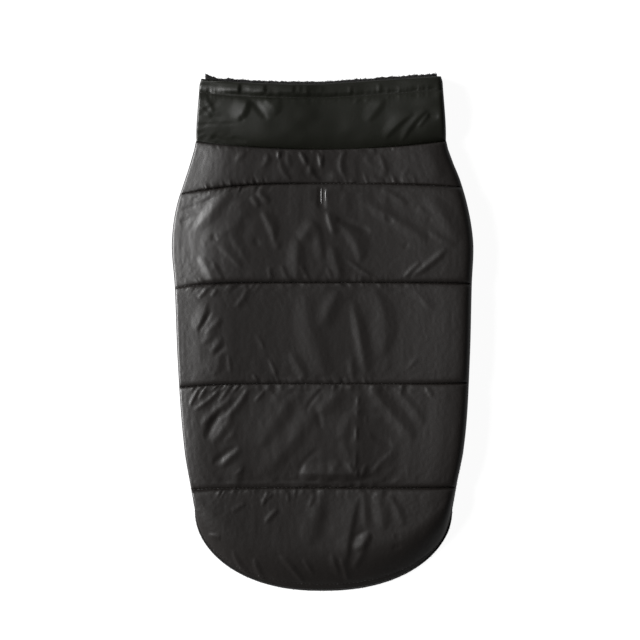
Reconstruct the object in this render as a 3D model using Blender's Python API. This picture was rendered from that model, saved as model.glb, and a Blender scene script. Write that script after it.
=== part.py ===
"""Quilted winter coat for a dog, laid flat with its back up.

The coat is a pull-on vest: a padded back panel over a shorter padded belly panel, joined at two
side seams, with a tube collar, two leg holes in the belly, a bound slit for a lead and a narrow
binding round the hems. Lengths below are in millimetres, and the meshes are made in metres.
+Y points to the collar, +Z up, and "down" is the distance from the collar seam towards the tail.
"""

from collections import namedtuple

import bmesh
import bpy
import numpy as np

MM = 0.001

# Body outline: half widths of the laid coat, left and right of its middle line.
Section = namedtuple("Section", "down left right")
SECTIONS = [
    Section(-8.0, 100.6, 99.2),
    Section(0.0, 102.2, 101.0),
    Section(24.0, 109.6, 110.4),
    Section(44.0, 116.0, 116.2),
    Section(72.0, 120.0, 120.8),
    Section(108.0, 117.8, 119.8),
    Section(168.0, 115.4, 118.2),
    Section(232.0, 110.8, 114.2),
    Section(270.0, 106.0, 108.4),
    Section(288.0, 102.4, 104.8),
]

# Lines sewn across the body. "middle" is the distance down at the middle line, and the two
# others say how much further down the line is at each side.
Line = namedtuple("Line", "middle left_end right_end power")
COLLAR_SEAM = Line(0.0, -6.4, -6.4, 2.0)
QUILT_LINES = [
    Line(27.2, 9.0, 3.2, 3.0),
    Line(106.2, 4.2, 1.0, 5.0),
    Line(187.0, 3.2, -1.0, 5.0),
    Line(270.0, 1.6, -0.4, 4.0),
]
TAIL_STARTS = 288.0  # where the sides begin to round into the tail
TAIL_DEPTH = 65.6  # from there to the lowest point of the hem
TAIL_ROUNDNESS = 0.9
TAIL_CORNER = 20.0  # depth at which the side edge gives way to the hem
BELLY_LENGTH = 238.0

# Padding: height of the back panel over its lining, in each band between two sewn lines.
BAND_LOFT = [8.5, 11.0, 11.5, 11.0, 10.0]
SEAM_LOFT = 2.6
BELLY_LOFT = 7.4
BELLY_HEM_LOFT = 3.2
BELLY_THINS_OVER = 24.0
SEAM_GAP = 0.3
LINING_HEIGHT = BELLY_LOFT + SEAM_GAP  # the back panel's lining lies on the belly panel
SETTLE_FROM = BELLY_LENGTH - 22.0  # about the belly's hem the back panel comes down to the floor
SETTLE_TO = BELLY_LENGTH + 40.0
SIDE_SHARPNESS = 8.0
EDGE_SHARE = 0.4  # thickness at the side seams, as a share of the thickness at a sewn line
HEM_SHARE = 0.9  # the same at the free edge of the back
BELLY_ROLL = 11.0
BELLY_FLAT_SHARE = 0.15

# Collar: its rings from the seam to the rim. "loft" is the height of its top over the middle, and
# "under" is the share of the way from the middle to the floor that its underside reaches.
Ring = namedtuple("Ring", "share loft under")
COLLAR_RINGS = [
    Ring(0.0, 2.6, 0.34),
    Ring(0.06, 4.8, 0.7),
    Ring(0.14, 6.6, 1.0),
    Ring(0.26, 7.8, 1.0),
    Ring(0.38, 8.2, 1.0),
    Ring(0.5, 8.0, 1.0),
    Ring(0.61, 7.4, 1.0),
    Ring(0.71, 6.0, 1.0),
    Ring(0.78, 3.9, 0.8),
    Ring(0.85, 5.4, 1.0),
    Ring(0.93, 5.4, 0.95),
    Ring(1.0, 3.4, 0.7),
]
COLLAR_HEIGHT = 52.4
RIM_RISE = 4.2  # how much higher the rim stands at its two ends
RIM_DROP = 1.2  # how much lower the mouth's middle lies than the neck's
COLLAR_TAPER = 2.8
COLLAR_CORNER = 1.0
COLLAR_SIDE = 7.0  # how far the inside stays from the two folded sides
MOUTH_SIDE_SHARE = 0.4  # how much of that is left at the mouth
COLLAR_SLIT = 0.5
MOUTH_SLIT = 2.9
MOUTH_FROM, MOUTH_TO = 0.7, 0.85
LINING_FROM = 0.88
LINING_SHOWS = 2.4
LINING_THICK = 1.0
LINING_INSET = 0.6

# Bindings, leg holes and lead slit
BINDING_WIDE = 2.0
BINDING_TALL = 2.4
TRIM_CORNER = 0.6
HEM_INSET = BINDING_WIDE + SEAM_GAP  # the back panel stops short of the outline by this much
LEG_HOLE = {"down": 66.0, "out": 61.0, "half_wide": 24.0, "half_long": 31.0}
SLIT_COLUMN = 0.0265  # share of the half width from the middle line to the slit's edge
SLIT_ROWS = (0.05, 0.27)  # shares of the second band
SLIT_OPEN = 1.0
WELT_SUNK = 0.5
WELT_THICK = 2.4

# Largest folds of the collar and the back panel: soft ridges, or troughs where "height" is negative.
# Each one's middle is at (across, down), and "turn" is in degrees anticlockwise from across.
Fold = namedtuple("Fold", "across down length turn width height")
FOLDS = [
    Fold(52, -38, 32, 48, 5, -1.2),
    Fold(74, -30, 30, 44, 6, 1.2),
    Fold(66, -26, 34, 50, 5, -1.2),
    Fold(-68, -34, 26, 100, 8, 1.3),
    Fold(-46, -36, 24, 84, 7, 1.2),
    Fold(0, 14, 26, 80, 6, 1.2),
    Fold(-37, 12, 26, 96, 6, -1.1),
    Fold(14, 10, 24, 80, 6, -1.0),
    Fold(-22, 78, 52, 112, 8, 1.8),
    Fold(10, 84, 56, 60, 8, 1.6),
    Fold(-8, 84, 44, 84, 7, -1.5),
    Fold(28, 80, 46, 50, 9, 1.6),
    Fold(38, 84, 34, 75, 8, -1.8),
    Fold(82, 90, 48, 143, 8, -1.9),
    Fold(76, 68, 60, 16, 9, 1.4),
    Fold(-86, 46, 50, 130, 9, 1.6),
    Fold(-48, 56, 46, 60, 8, 1.6),
    Fold(-74, 80, 40, 52, 9, -1.5),
    Fold(-12, 146, 68, 66, 9, 1.7),
    Fold(40, 136, 62, 58, 9, 1.8),
    Fold(16, 148, 56, 108, 8, -1.6),
    Fold(-1, 124, 36, 50, 8, 1.3),
    Fold(-66, 118, 34, 118, 8, 1.3),
    Fold(-86, 136, 34, 142, 9, 1.4),
    Fold(-88, 206, 56, 140, 9, 2.0),
    Fold(-72, 216, 60, 128, 8, -1.8),
    Fold(-50, 226, 60, 122, 9, 1.6),
    Fold(28, 226, 62, 90, 7, 1.8),
    Fold(58, 212, 44, 50, 8, -1.7),
    Fold(44, 236, 44, 96, 9, 1.2),
    Fold(-4, 222, 54, 112, 9, 1.4),
    Fold(26, 304, 54, 98, 8, -1.9),
    Fold(42, 300, 44, 82, 8, 1.3),
    Fold(-8, 298, 46, 112, 9, -1.4),
    Fold(58, 292, 34, 62, 8, -1.5),
    Fold(-64, 326, 30, 62, 7, 1.3),
    Fold(-24, 330, 32, 55, 7, 1.3),
    Fold(16, 330, 34, 68, 7, 1.4),
]

BLACK_NYLON = ((0.022, 0.021, 0.021, 1.0), 0.42)
BLACK_FLEECE = ((0.012, 0.012, 0.013, 1.0), 0.95)


# ---------------------------------------------------------------- curves of the pattern
def ease(value, start, end):
    """0 before start, 1 after end, and smooth between."""
    t = np.clip((value - start) / (end - start), 0.0, 1.0)
    return t * t * (3.0 - 2.0 * t)


def along(table, column, down):
    """A smooth curve through one column of a table whose first column is the distance down."""
    at = np.array([row[0] for row in table])
    value = np.array([getattr(row, column) for row in table])
    slope = np.gradient(value, at)
    i = np.clip(np.searchsorted(at, down) - 1, 0, len(at) - 2)
    step = at[i + 1] - at[i]
    t = (down - at[i]) / step
    return (
        value[i] * (1 + 2 * t) * (1 - t) ** 2
        + value[i + 1] * t * t * (3 - 2 * t)
        + step * slope[i] * t * (1 - t) ** 2
        - step * slope[i + 1] * t * t * (1 - t)
    )


def half_width(side, down):
    """Half width of the coat at a distance down, on the side that the sign of "side" says."""
    level = np.minimum(down, TAIL_STARTS)
    width = np.where(side < 0, along(SECTIONS, "left", level), along(SECTIONS, "right", level))
    depth = np.clip((down - TAIL_STARTS) / TAIL_DEPTH, 0, 1)
    return width * (1 - depth * depth) ** (TAIL_ROUNDNESS / 2)


def line_down(line, side):
    """How far down a sewn line is, at a share from -1 to 1 across the coat."""
    end = np.where(side < 0, line.left_end, line.right_end)
    return line.middle + end * np.abs(side) ** line.power


def column_share(a):
    """Spreads columns across the coat, closer together near the sides."""
    return 0.6 * a + 0.4 * np.sin(a * np.pi / 2)


def tail_hem(a):
    """Points (across, down) of the back's hem, from its left corner at a = -1 to its right one."""
    angle = a * np.arccos(TAIL_CORNER / TAIL_DEPTH)
    reach = np.abs(np.sin(angle)) ** TAIL_ROUNDNESS
    width = half_width(a, np.full_like(a, TAIL_STARTS)) - HEM_INSET
    return np.sign(a) * width * reach, TAIL_STARTS + (TAIL_DEPTH - HEM_INSET) * np.cos(angle)


def fold_relief(across, down):
    """Height of the folds at a place on the back panel: a bell across each one, fading at its ends."""
    total = np.zeros_like(across)
    for fold in FOLDS:
        turn = np.radians(fold.turn)
        dx, dy = across - fold.across, fold.down - down
        run = dx * np.cos(turn) + dy * np.sin(turn)
        off = -dx * np.sin(turn) + dy * np.cos(turn)
        fade = np.clip(1 - (2 * run / fold.length) ** 2, 0, 1)
        total = total + fold.height * fade * np.exp(-((off / fold.width) ** 2))
    return total


def band_puff(t):
    """How full a band is between its two sewn lines, at a share t of the way."""
    return np.sqrt(np.clip(1 - np.abs(2 * t - 1) ** 4, 0, 1))


def side_crown(side):
    """How full the back is at a share across: level in the middle and rounded at the sides."""
    return np.sqrt(np.clip(1 - np.abs(side) ** SIDE_SHARPNESS, 0, 1))


def belly_crown(side, width):
    """The same for the belly, which is quite flat up to a small roll at each side."""
    flat = 1 - BELLY_ROLL / width
    return np.sqrt(np.clip(1 - (np.clip(np.abs(side) - flat, 0, 1) / (1 - flat)) ** 2, 0, 1))


# ---------------------------------------------------------------- meshes
def make_object(name, points, faces, finish):
    """One closed solid from points in millimetres, with (x, down, z) turned into (x, y, z)."""
    place = np.column_stack([points[:, 0], -points[:, 1], points[:, 2]]) * MM
    mesh = bpy.data.meshes.new(name)
    mesh.from_pydata(place.tolist(), [], [list(map(int, face)) for face in faces])
    work = bmesh.new()
    work.from_mesh(mesh)
    bmesh.ops.recalc_face_normals(work, faces=work.faces[:])
    work.to_mesh(mesh)
    work.free()
    mesh.shade_smooth()
    obj = bpy.data.objects.new(name, mesh)
    bpy.context.collection.objects.link(obj)
    if finish:
        mesh.materials.append(finish)
    return obj


def wall(name, outer, inner, finish, ring=False, hole=None):
    """A wall between two grids of the same rows and columns, closed round its edges.

    ring joins the last column to the first. hole = (first row, last row, first column, last
    column) leaves those cells open right through the wall.
    """
    rows, columns = outer.shape[:2]
    index = np.arange(rows * columns).reshape(rows, columns)
    below = index + rows * columns
    spans = columns if ring else columns - 1
    faces = []

    def cut(r, c):
        return hole and hole[0] <= r < hole[1] and hole[2] <= c < hole[3]

    def close(r0, c0, r1, c1):
        faces.append((index[r0, c0], index[r1, c1], below[r1, c1], below[r0, c0]))

    for r in range(rows - 1):
        for c in range(spans):
            n = (c + 1) % columns
            if cut(r, c):
                continue
            faces.append((index[r, c], index[r, n], index[r + 1, n], index[r + 1, c]))
            faces.append((below[r, c], below[r + 1, c], below[r + 1, n], below[r, n]))
    for c in range(spans):
        n = (c + 1) % columns
        close(0, c, 0, n)
        close(rows - 1, n, rows - 1, c)
    if not ring:
        for r in range(rows - 1):
            close(r + 1, 0, r, 0)
            close(r, columns - 1, r + 1, columns - 1)
    if hole:
        top, bottom, left, right = hole
        for r in range(top, bottom):
            close(r, left, r + 1, left)
            close(r + 1, right, r, right)
        for c in range(left, right):
            close(top, c + 1, top, c)
            close(bottom, c, bottom, c + 1)
    points = np.concatenate([outer.reshape(-1, 3), inner.reshape(-1, 3)])
    used = np.unique(np.array([v for face in faces for v in face]))
    renumber = np.zeros(len(points), int)
    renumber[used] = np.arange(len(used))
    return make_object(name, points[used], [[renumber[v] for v in face] for face in faces], finish)


def bar(name, path, out, wide, tall, corner, finish):
    """A bar with cut corners that stands on a path and reaches outwards from it by its width."""
    section = [
        (0.0, corner),
        (corner, 0.0),
        (wide - corner, 0.0),
        (wide, corner),
        (wide, tall - corner),
        (wide - corner, tall),
        (corner, tall),
        (0.0, tall - corner),
    ]
    up = np.array([0.0, 0.0, 1.0])
    points = np.array([[place + w * o + h * up for w, h in section] for place, o in zip(path, out)])
    count, sides = points.shape[:2]
    index = np.arange(count * sides).reshape(count, sides)
    faces = [tuple(index[0][::-1]), tuple(index[-1])]
    for i in range(count - 1):
        for k in range(sides):
            n = (k + 1) % sides
            faces.append((index[i, k], index[i, n], index[i + 1, n], index[i + 1, k]))
    return make_object(name, points.reshape(-1, 3), faces, finish)


def path_outwards(path):
    """Level unit vectors across a path of (across, down, z), to the outside of one round the tail."""
    travel = np.gradient(path, axis=0)
    out = np.column_stack([-travel[:, 1], travel[:, 0], np.zeros(len(path))])
    return out / np.linalg.norm(out, axis=1)[:, None]


# ---------------------------------------------------------------- pieces
BAND_ROWS = {
    "yoke": [0.0, 0.1, 0.25, 0.42, 0.58, 0.75, 0.9, 1.0],
    "band": [0.0, 0.05, 0.13, 0.27, 0.39, 0.5, 0.61, 0.73, 0.87, 0.95, 1.0],
    "seat": [0.0, 0.05, 0.13, 0.27, 0.39, 0.5, 0.6, 0.64, 0.74, 0.87, 0.95, 1.0],
    "tail": [0.0, 0.04, 0.12, 0.24, 0.38, 0.52, 0.66, 0.79, 0.89, 0.96, 1.0],
}
BAND_KINDS = ["yoke", "band", "band", "seat", "tail"]
HEM_STARTS = (3, 0.64)  # the row from which the back's side edge is free, just past the belly's hem
HALF_COLUMNS = 22


def back_columns():
    """Shares across the back from -1 to 1, with two columns that edge the lead slit."""
    right = np.linspace(0.0, 1.0, HALF_COLUMNS + 1)[1:]
    right[0] = SLIT_COLUMN / (0.6 + 0.4 * np.pi / 2)
    return np.concatenate([-right[::-1], right])


def back_rows():
    """The back's rows in order, as (band, share of the way down it)."""
    rows = [(0, 0.0)]
    for band, kind in enumerate(BAND_KINDS):
        rows += [(band, t) for t in BAND_ROWS[kind][1:]]
    return rows


def back_place(a, band, t):
    """Where a point of the back panel is in plan: (across, down)."""
    side = column_share(a)
    inset = HEM_INSET if (band, t) >= HEM_STARTS else 0.0
    lines = [COLLAR_SEAM] + QUILT_LINES
    upper = line_down(lines[band], side)
    if band < len(QUILT_LINES):
        down = (1 - t) * upper + t * line_down(lines[band + 1], side)
        return side * (half_width(side, down) - inset), down
    start = side * (half_width(side, upper) - inset)
    hem_across, hem_down = tail_hem(a)
    across, down = (1 - t) * start + t * hem_across, (1 - t) * upper + t * hem_down
    edge = np.sign(a) * (half_width(a, down) - inset)
    return np.where(np.abs(a) == 1, edge, across), down


def belly_top(down):
    """Height of the belly panel's inside, which comes down at its hem."""
    thinner = ease(down, BELLY_LENGTH - BELLY_THINS_OVER, BELLY_LENGTH)
    return BELLY_LOFT + (BELLY_HEM_LOFT - BELLY_LOFT) * thinner


def lining_height(down):
    """Height of the back's lining: on the belly panel, and on the floor past the belly's hem."""
    return LINING_HEIGHT * (1 - ease(down, SETTLE_FROM, SETTLE_TO))


def back_loft(a, band, t, across, down):
    """Height of the back's outside over its lining."""
    side = column_share(a)
    full = band_puff(t) * side_crown(side)
    edge = EDGE_SHARE + (HEM_SHARE - EDGE_SHARE) * ease(down, BELLY_LENGTH, TAIL_STARTS)
    loft = SEAM_LOFT * np.maximum(side_crown(side), edge)
    return loft + full * (BAND_LOFT[band] - SEAM_LOFT + fold_relief(across, down))


def back_panel(finish):
    """The padded, quilted back: its outside puffs up between sewn lines over a plain lining."""
    a = back_columns()
    outer, inner = [], []
    for band, t in back_rows():
        across, down = back_place(a, band, t)
        low = lining_height(down)
        high = low + back_loft(a, band, t, across, down)
        if (band, t) == (0, 0.0):
            down = down + SEAM_GAP / 2
        outer.append(np.column_stack([across, down, high]))
        inner.append(np.column_stack([across, down, low]))
    rows = back_rows()
    hole = (
        rows.index((1, SLIT_ROWS[0])),
        rows.index((1, SLIT_ROWS[1])),
        HALF_COLUMNS - 1,
        HALF_COLUMNS,
    )
    return wall("back_panel", np.array(outer), np.array(inner), finish, hole=hole)


def lead_slit(finish):
    """Two lips that bind the slit in the back, one on each side of its opening."""
    shares = np.linspace(SLIT_ROWS[0], SLIT_ROWS[1], 7)
    for name, sign in (("slit_welt_left", -1.0), ("slit_welt_right", 1.0)):
        a = np.full(1, sign * SLIT_COLUMN / (0.6 + 0.4 * np.pi / 2))
        path = []
        for t in shares:
            across, down = back_place(a, 1, t)
            high = lining_height(down) + back_loft(a, 1, t, across, down)
            path.append([across[0], down[0], high[0] - WELT_SUNK - WELT_THICK])
        path = np.array(path)
        path[0, 1] += SEAM_GAP
        path[-1, 1] -= SEAM_GAP
        wide = np.min(np.abs(path[:, 0])) - SLIT_OPEN / 2 - SEAM_GAP
        path[:, 0] = sign * (SLIT_OPEN / 2)
        out = np.tile([sign, 0.0, 0.0], (len(path), 1))
        bar(name, path, out, wide, WELT_THICK, TRIM_CORNER, finish)


BELLY_ROWS = {
    "yoke": [0.0, 0.12, 0.88, 1.0],
    "band": [0.0, 0.05, BELLY_FLAT_SHARE, 1 - BELLY_FLAT_SHARE, 0.95, 1.0],
    "hem": [0.0, 0.08, 0.22, 0.7, 0.88, 1.0],
}
BELLY_KINDS = ["yoke", "band", "band", "hem"]
BELLY_SIDES = [0.0, 0.3, 0.6, 0.84, 0.908, 0.945, 0.972, 0.99, 1.0]


def belly_puff(kind, t):
    """How full a belly band is: rounded beside each sewn line and quite flat between."""
    flat = {"yoke": 0.4, "band": BELLY_FLAT_SHARE, "hem": 0.22}[kind]
    near = t if kind == "hem" else np.minimum(t, 1 - t)
    return np.sqrt(1 - (np.clip(flat - near, 0, flat) / flat) ** 2)


def belly_panel(finish):
    """The padded belly under the front of the back panel, flat on the floor, with two leg holes."""
    right = np.array(BELLY_SIDES[1:])
    side = np.concatenate([-right[::-1], [0.0], right])
    lines = [COLLAR_SEAM] + QUILT_LINES[:3]
    outer, inner = [], []
    for band, kind in enumerate(BELLY_KINDS):
        for t in BELLY_ROWS[kind][(1 if band else 0) :]:
            start = line_down(lines[band], side)
            end = line_down(lines[band + 1], side) if band < 3 else np.full_like(side, BELLY_LENGTH)
            down = (1 - t) * start + t * end
            width = half_width(side, down)
            high = belly_top(down)
            thick = np.minimum(SEAM_LOFT + (BELLY_LOFT - SEAM_LOFT) * belly_puff(kind, t), high)
            low = high - thick * np.maximum(belly_crown(side, width), EDGE_SHARE * SEAM_LOFT / thick)
            if (band, t) == (0, 0.0):
                down = down + SEAM_GAP / 2
            outer.append(np.column_stack([side * width, down, low]))
            inner.append(np.column_stack([side * width, down, high]))
    panel = wall("belly_panel", np.array(outer), np.array(inner), finish)
    for sign in (-1.0, 1.0):
        cut_away(panel, prism(leg_hole(sign), -BELLY_LOFT, 2 * BELLY_LOFT))
    return panel


OVAL_STEPS = 36


def leg_hole(sign):
    """Points round the edge of a leg hole."""
    turn = np.linspace(0, 2 * np.pi, OVAL_STEPS, endpoint=False)
    across = sign * LEG_HOLE["out"] + LEG_HOLE["half_wide"] * np.cos(turn)
    down = LEG_HOLE["down"] + LEG_HOLE["half_long"] * np.sin(turn)
    return np.column_stack([across, down, np.zeros(OVAL_STEPS)])


def prism(loop, low, high):
    """A straight block over a closed loop of points, for cutting."""
    count = len(loop)
    points = np.concatenate([loop + [0, 0, low], loop + [0, 0, high]])
    index = np.arange(count)
    turned = (index + 1) % count
    sides = np.column_stack([index, turned, turned + count, index + count])
    faces = [tuple(face) for face in sides] + [tuple(index[::-1]), tuple(index + count)]
    return make_object("cutter", points, faces, None)


def cut_away(obj, cutter):
    """Cuts cutter's shape out of obj with a Boolean, and removes the cutter."""
    modifier = obj.modifiers.new("cut", "BOOLEAN")
    modifier.operation, modifier.solver, modifier.object = "DIFFERENCE", "EXACT", cutter
    graph = bpy.context.evaluated_depsgraph_get()
    cut = bpy.data.meshes.new_from_object(obj.evaluated_get(graph))
    obj.modifiers.clear()
    obj.data = cut
    bpy.data.objects.remove(cutter)


def collar_place(side, share):
    """Where a point of the collar is in plan, at a share of the way from its seam to its rim."""
    seam = line_down(COLLAR_SEAM, side) - SEAM_GAP / 2
    rim = -COLLAR_HEIGHT - RIM_RISE * np.abs(side) ** 1.5
    down = (1 - share) * seam + share * rim
    narrower = COLLAR_TAPER * ease(share, 0.1, 1.1) + COLLAR_CORNER * ease(share, 0.9, 1.0)
    return side * (half_width(side, np.maximum(down, -8.0)) - narrower), down


def collar_middle(share):
    """Height of the slit between the collar's two layers."""
    return LINING_HEIGHT - SEAM_GAP / 2 - RIM_DROP * ease(share, 0.6, 1.0)


def collar_side(share):
    """How far the collar's inside stays from its folded sides."""
    return COLLAR_SIDE * (1 - (1 - MOUTH_SIDE_SHARE) * ease(share, MOUTH_FROM, MOUTH_TO))


def ring_sides():
    """Shares across the coat, once over the top from left to right and back underneath."""
    over = column_share(np.linspace(-1, 1, 39))
    flat = np.array([0.985, 0.955, 0.92, 0.86, 0.6, 0.3])
    return np.concatenate([over, flat, [0.0], -flat[::-1]]), len(over)


def ring_layer(share, inset, half):
    """A ring of the collar's inside: its two layers are half above and below the middle."""
    side, top = ring_sides()
    across, down = collar_place(side, share)
    scale = 1 - (collar_side(share) + inset) / np.max(np.abs(across))
    up = np.where(np.arange(len(side)) < top, half, -half)
    up = np.where(np.abs(side) > 0.999, 0.0, up)
    return np.column_stack([across * scale, down, collar_middle(share) + up])


def collar(finish):
    """The collar, a padded tube pressed flat, with a sewn channel below its rim."""
    side, top = ring_sides()
    outer, inner = [], []
    for ring in COLLAR_RINGS:
        across, down = collar_place(side, ring.share)
        middle = collar_middle(ring.share)
        rise = side_crown(side) * (ring.loft + fold_relief(across, down) * band_puff(ring.share))
        fall = belly_crown(side, half_width(side, down * 0)) * ring.under * middle
        high = np.where(np.arange(len(side)) < top, middle + rise, middle - fall)
        outer.append(np.column_stack([across, down, high]))
        slit = COLLAR_SLIT + (MOUTH_SLIT - COLLAR_SLIT) * ease(ring.share, MOUTH_FROM, MOUTH_TO)
        inner.append(ring_layer(ring.share, 0.0, slit / 2))
    return wall("collar", np.array(outer), np.array(inner), finish, ring=True)


def collar_lining(finish):
    """The pile lining where it shows: a flat sleeve in the collar's mouth that stands past the rim."""
    half = MOUTH_SLIT / 2 - SEAM_GAP
    outer, inner = [], []
    for share, past in ((LINING_FROM, 0.0), (0.93, 0.0), (1.0, 0.0), (1.0, LINING_SHOWS)):
        outer.append(ring_layer(share, LINING_INSET, half) - [0.0, past, 0.0])
        thinner = ring_layer(share, LINING_INSET + LINING_THICK, half - LINING_THICK)
        inner.append(thinner - [0.0, past, 0.0])
    return wall("collar_lining", np.array(outer), np.array(inner), finish, ring=True)


def tail_binding(finish):
    """The binding along the free edge of the back, down one side, round the tail and up the other."""
    ends = np.array([-1.0, 1.0])
    free = [row for row in back_rows() if row >= HEM_STARTS][:-1]
    sides = np.array([np.column_stack(back_place(ends, band, t)) for band, t in free])
    hem = np.column_stack(back_place(back_columns(), len(QUILT_LINES), 1.0))
    path = np.concatenate([sides[:, 0], hem, sides[::-1, 1]])
    path = np.column_stack([path, lining_height(path[:, 1])])
    out = path_outwards(path)
    path = path + SEAM_GAP * out
    return bar("tail_binding", path, out, BINDING_WIDE, BINDING_TALL, TRIM_CORNER, finish)


# ---------------------------------------------------------------- the model
def make_finish(name, look):
    """A plain finish from a colour and a roughness."""
    colour, roughness = look
    finish = bpy.data.materials.new(name)
    finish.use_nodes = True
    shader = finish.node_tree.nodes["Principled BSDF"]
    shader.inputs["Base Color"].default_value = colour
    shader.inputs["Roughness"].default_value = roughness
    shader.inputs["Metallic"].default_value = 0.0
    return finish


def centre_on_floor():
    """Moves every mesh so that the middle of the whole coat's base is the origin."""
    meshes = [obj.data for obj in bpy.data.objects]
    places = [np.array([v.co for v in mesh.vertices]) for mesh in meshes]
    low = np.min([p.min(axis=0) for p in places], axis=0)
    high = np.max([p.max(axis=0) for p in places], axis=0)
    shift = np.array([(low[0] + high[0]) / 2, (low[1] + high[1]) / 2, low[2]])
    for mesh, place in zip(meshes, places):
        mesh.vertices.foreach_set("co", (place - shift).astype(np.float32).ravel())
        mesh.update()


def main():
    for obj in list(bpy.data.objects):
        bpy.data.objects.remove(obj)
    nylon = make_finish("black_nylon", BLACK_NYLON)
    fleece = make_finish("black_fleece", BLACK_FLEECE)
    back_panel(nylon)
    belly_panel(nylon)
    collar(nylon)
    lead_slit(nylon)
    collar_lining(fleece)
    tail_binding(fleece)
    centre_on_floor()


main()
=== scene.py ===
"""Looks of a quilted winter coat for a dog, laid flat with its back up.

Sizes are in millimetres and the meshes are made in metres. "Across" is measured from the coat's
middle line, and "down" from the collar seam towards the tail, as the pattern is drawn. Each padded
panel is a grid. The back's cloth is cut a little larger than the space between its sewn lines, and
is settled so that it buckles softly. The main creases are then laid over it.
"""

from collections import namedtuple

import bmesh
import bpy
import numpy as np
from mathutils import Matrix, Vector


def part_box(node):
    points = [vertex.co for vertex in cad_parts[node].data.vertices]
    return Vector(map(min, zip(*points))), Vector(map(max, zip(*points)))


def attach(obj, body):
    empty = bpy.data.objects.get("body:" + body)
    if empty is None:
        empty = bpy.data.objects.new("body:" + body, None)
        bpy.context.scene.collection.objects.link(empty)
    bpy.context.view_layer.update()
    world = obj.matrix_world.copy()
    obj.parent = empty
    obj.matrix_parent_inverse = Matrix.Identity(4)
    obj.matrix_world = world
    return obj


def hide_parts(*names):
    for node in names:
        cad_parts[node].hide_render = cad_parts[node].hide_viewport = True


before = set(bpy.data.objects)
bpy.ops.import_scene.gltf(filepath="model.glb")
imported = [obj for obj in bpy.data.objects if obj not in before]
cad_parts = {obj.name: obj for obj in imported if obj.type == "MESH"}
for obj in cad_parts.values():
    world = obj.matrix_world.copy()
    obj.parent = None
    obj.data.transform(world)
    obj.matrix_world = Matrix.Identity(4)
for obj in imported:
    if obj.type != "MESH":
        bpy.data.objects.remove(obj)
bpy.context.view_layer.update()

MM = 0.001

# ---------------------------------------------------------------- the pattern
# The outline is the CAD model's own: half widths at each distance down.
Section = namedtuple("Section", "down left right")
SECTIONS = [
    Section(-8.0, 100.6, 99.2),
    Section(0.0, 102.2, 101.0),
    Section(24.0, 109.6, 110.4),
    Section(44.0, 116.0, 116.2),
    Section(72.0, 120.0, 120.8),
    Section(108.0, 117.8, 119.8),
    Section(168.0, 115.4, 118.2),
    Section(232.0, 110.8, 114.2),
    Section(270.0, 106.0, 108.4),
    Section(288.0, 102.4, 104.8),
]
# Sewn lines: distance down at the middle, and how much further down at each side.
Line = namedtuple("Line", "middle left_end right_end power")
COLLAR_SEAM = Line(0.0, -6.4, -6.4, 2.0)
QUILT_LINES = [
    Line(27.2, 9.0, 3.2, 3.0),
    Line(106.2, 4.2, 1.0, 5.0),
    Line(187.0, 3.2, -1.0, 5.0),
    Line(270.0, 1.6, -0.4, 4.0),
]
LINES = [COLLAR_SEAM] + QUILT_LINES
LAST_BAND = len(QUILT_LINES)
TAIL_STARTS, TAIL_DEPTH, TAIL_ROUNDNESS, TAIL_CORNER = 288.0, 65.6, 0.9, 20.0
BELLY_LENGTH = 238.0
SEAM_GAP = 0.3
BINDING_WIDE = 2.0
HEM_INSET = 1.0  # how far the binding stands out past the back's edge
INSET_FROM, INSET_TO = BELLY_LENGTH + 2, BELLY_LENGTH + 30

# Where the pattern lies in the frame: its middle line between the slit's lips, and its zero of
# "down" below the back panel's highest edge.
MIDDLE_X = (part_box("slit_welt_left")[1][0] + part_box("slit_welt_right")[0][0]) / 2 / MM
ZERO_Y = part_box("back_panel")[1][1] / MM + COLLAR_SEAM.left_end + SEAM_GAP / 2
BELLY_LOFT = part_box("belly_panel")[1][2] / MM
LINING_HEIGHT = BELLY_LOFT + SEAM_GAP

# Height of the padding over the lining, across the coat from its left side to its right one: in
# each band between two sewn lines, and along the lines.
ACROSS = [-1, -0.92, -0.84, -0.75, -0.65, -0.5, -0.25, 0, 0.25, 0.5, 0.7, 0.85, 0.94, 1]
BAND_HIGH = [
    [3.6, 5.4, 7.1, 8.4, 8.9, 8.8, 8.1, 6.8, 6.3, 7.1, 8.8, 9.6, 9.2, 8.6],
    [2.8, 4.8, 6.8, 8.8, 9.7, 9.7, 8.8, 8.6, 8.4, 9.6, 11.5, 12.8, 13.1, 12.6],
    [5.2, 6.6, 8.0, 8.8, 8.8, 8.0, 7.1, 7.2, 7.1, 8.1, 10.2, 12.0, 12.6, 12.1],
    [4.4, 5.8, 6.3, 6.3, 6.4, 6.2, 6.3, 6.9, 7.3, 7.7, 9.7, 11.4, 11.6, 11.1],
    [10.2, 10.4, 10.5, 10.4, 10.1, 9.6, 9.2, 9.2, 10.1, 11.6, 13.1, 13.9, 13.4, 11.9],
]
LINE_HIGH = [2.8, 4.0, 4.8, 5.3, 5.4, 5.3, 5.3, 5.6, 5.9, 6.2, 7.0, 7.6, 7.4, 6.8]
SEAM_SUNK = 0.15  # how much deeper the stitching pulls the cloth
EDGE_LOFT, HEM_LOFT = 1.0, 1.6
LINING_FALLS_FROM, LINING_FALLS_TO = BELLY_LENGTH - 12.0, BELLY_LENGTH + 96.0
STITCH_REACH = 1.1  # how far that pull reaches beside the stitching
STEEP, YOKE_STEEP = 0.72, 0.4  # how much of a band's fullness rises at once beside its stitching
TAIL_PAD, TAIL_FALL = 80.0, 36.0  # the tail's band as if it were closed, and its slope's length
TAIL_LEVEL = 0.75  # share of the lining's fall that the tail's padding makes up for
HEM_STITCH = 0.945  # share of the tail's length at which its hem is stitched down
LINING_THICK = 0.8
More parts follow.
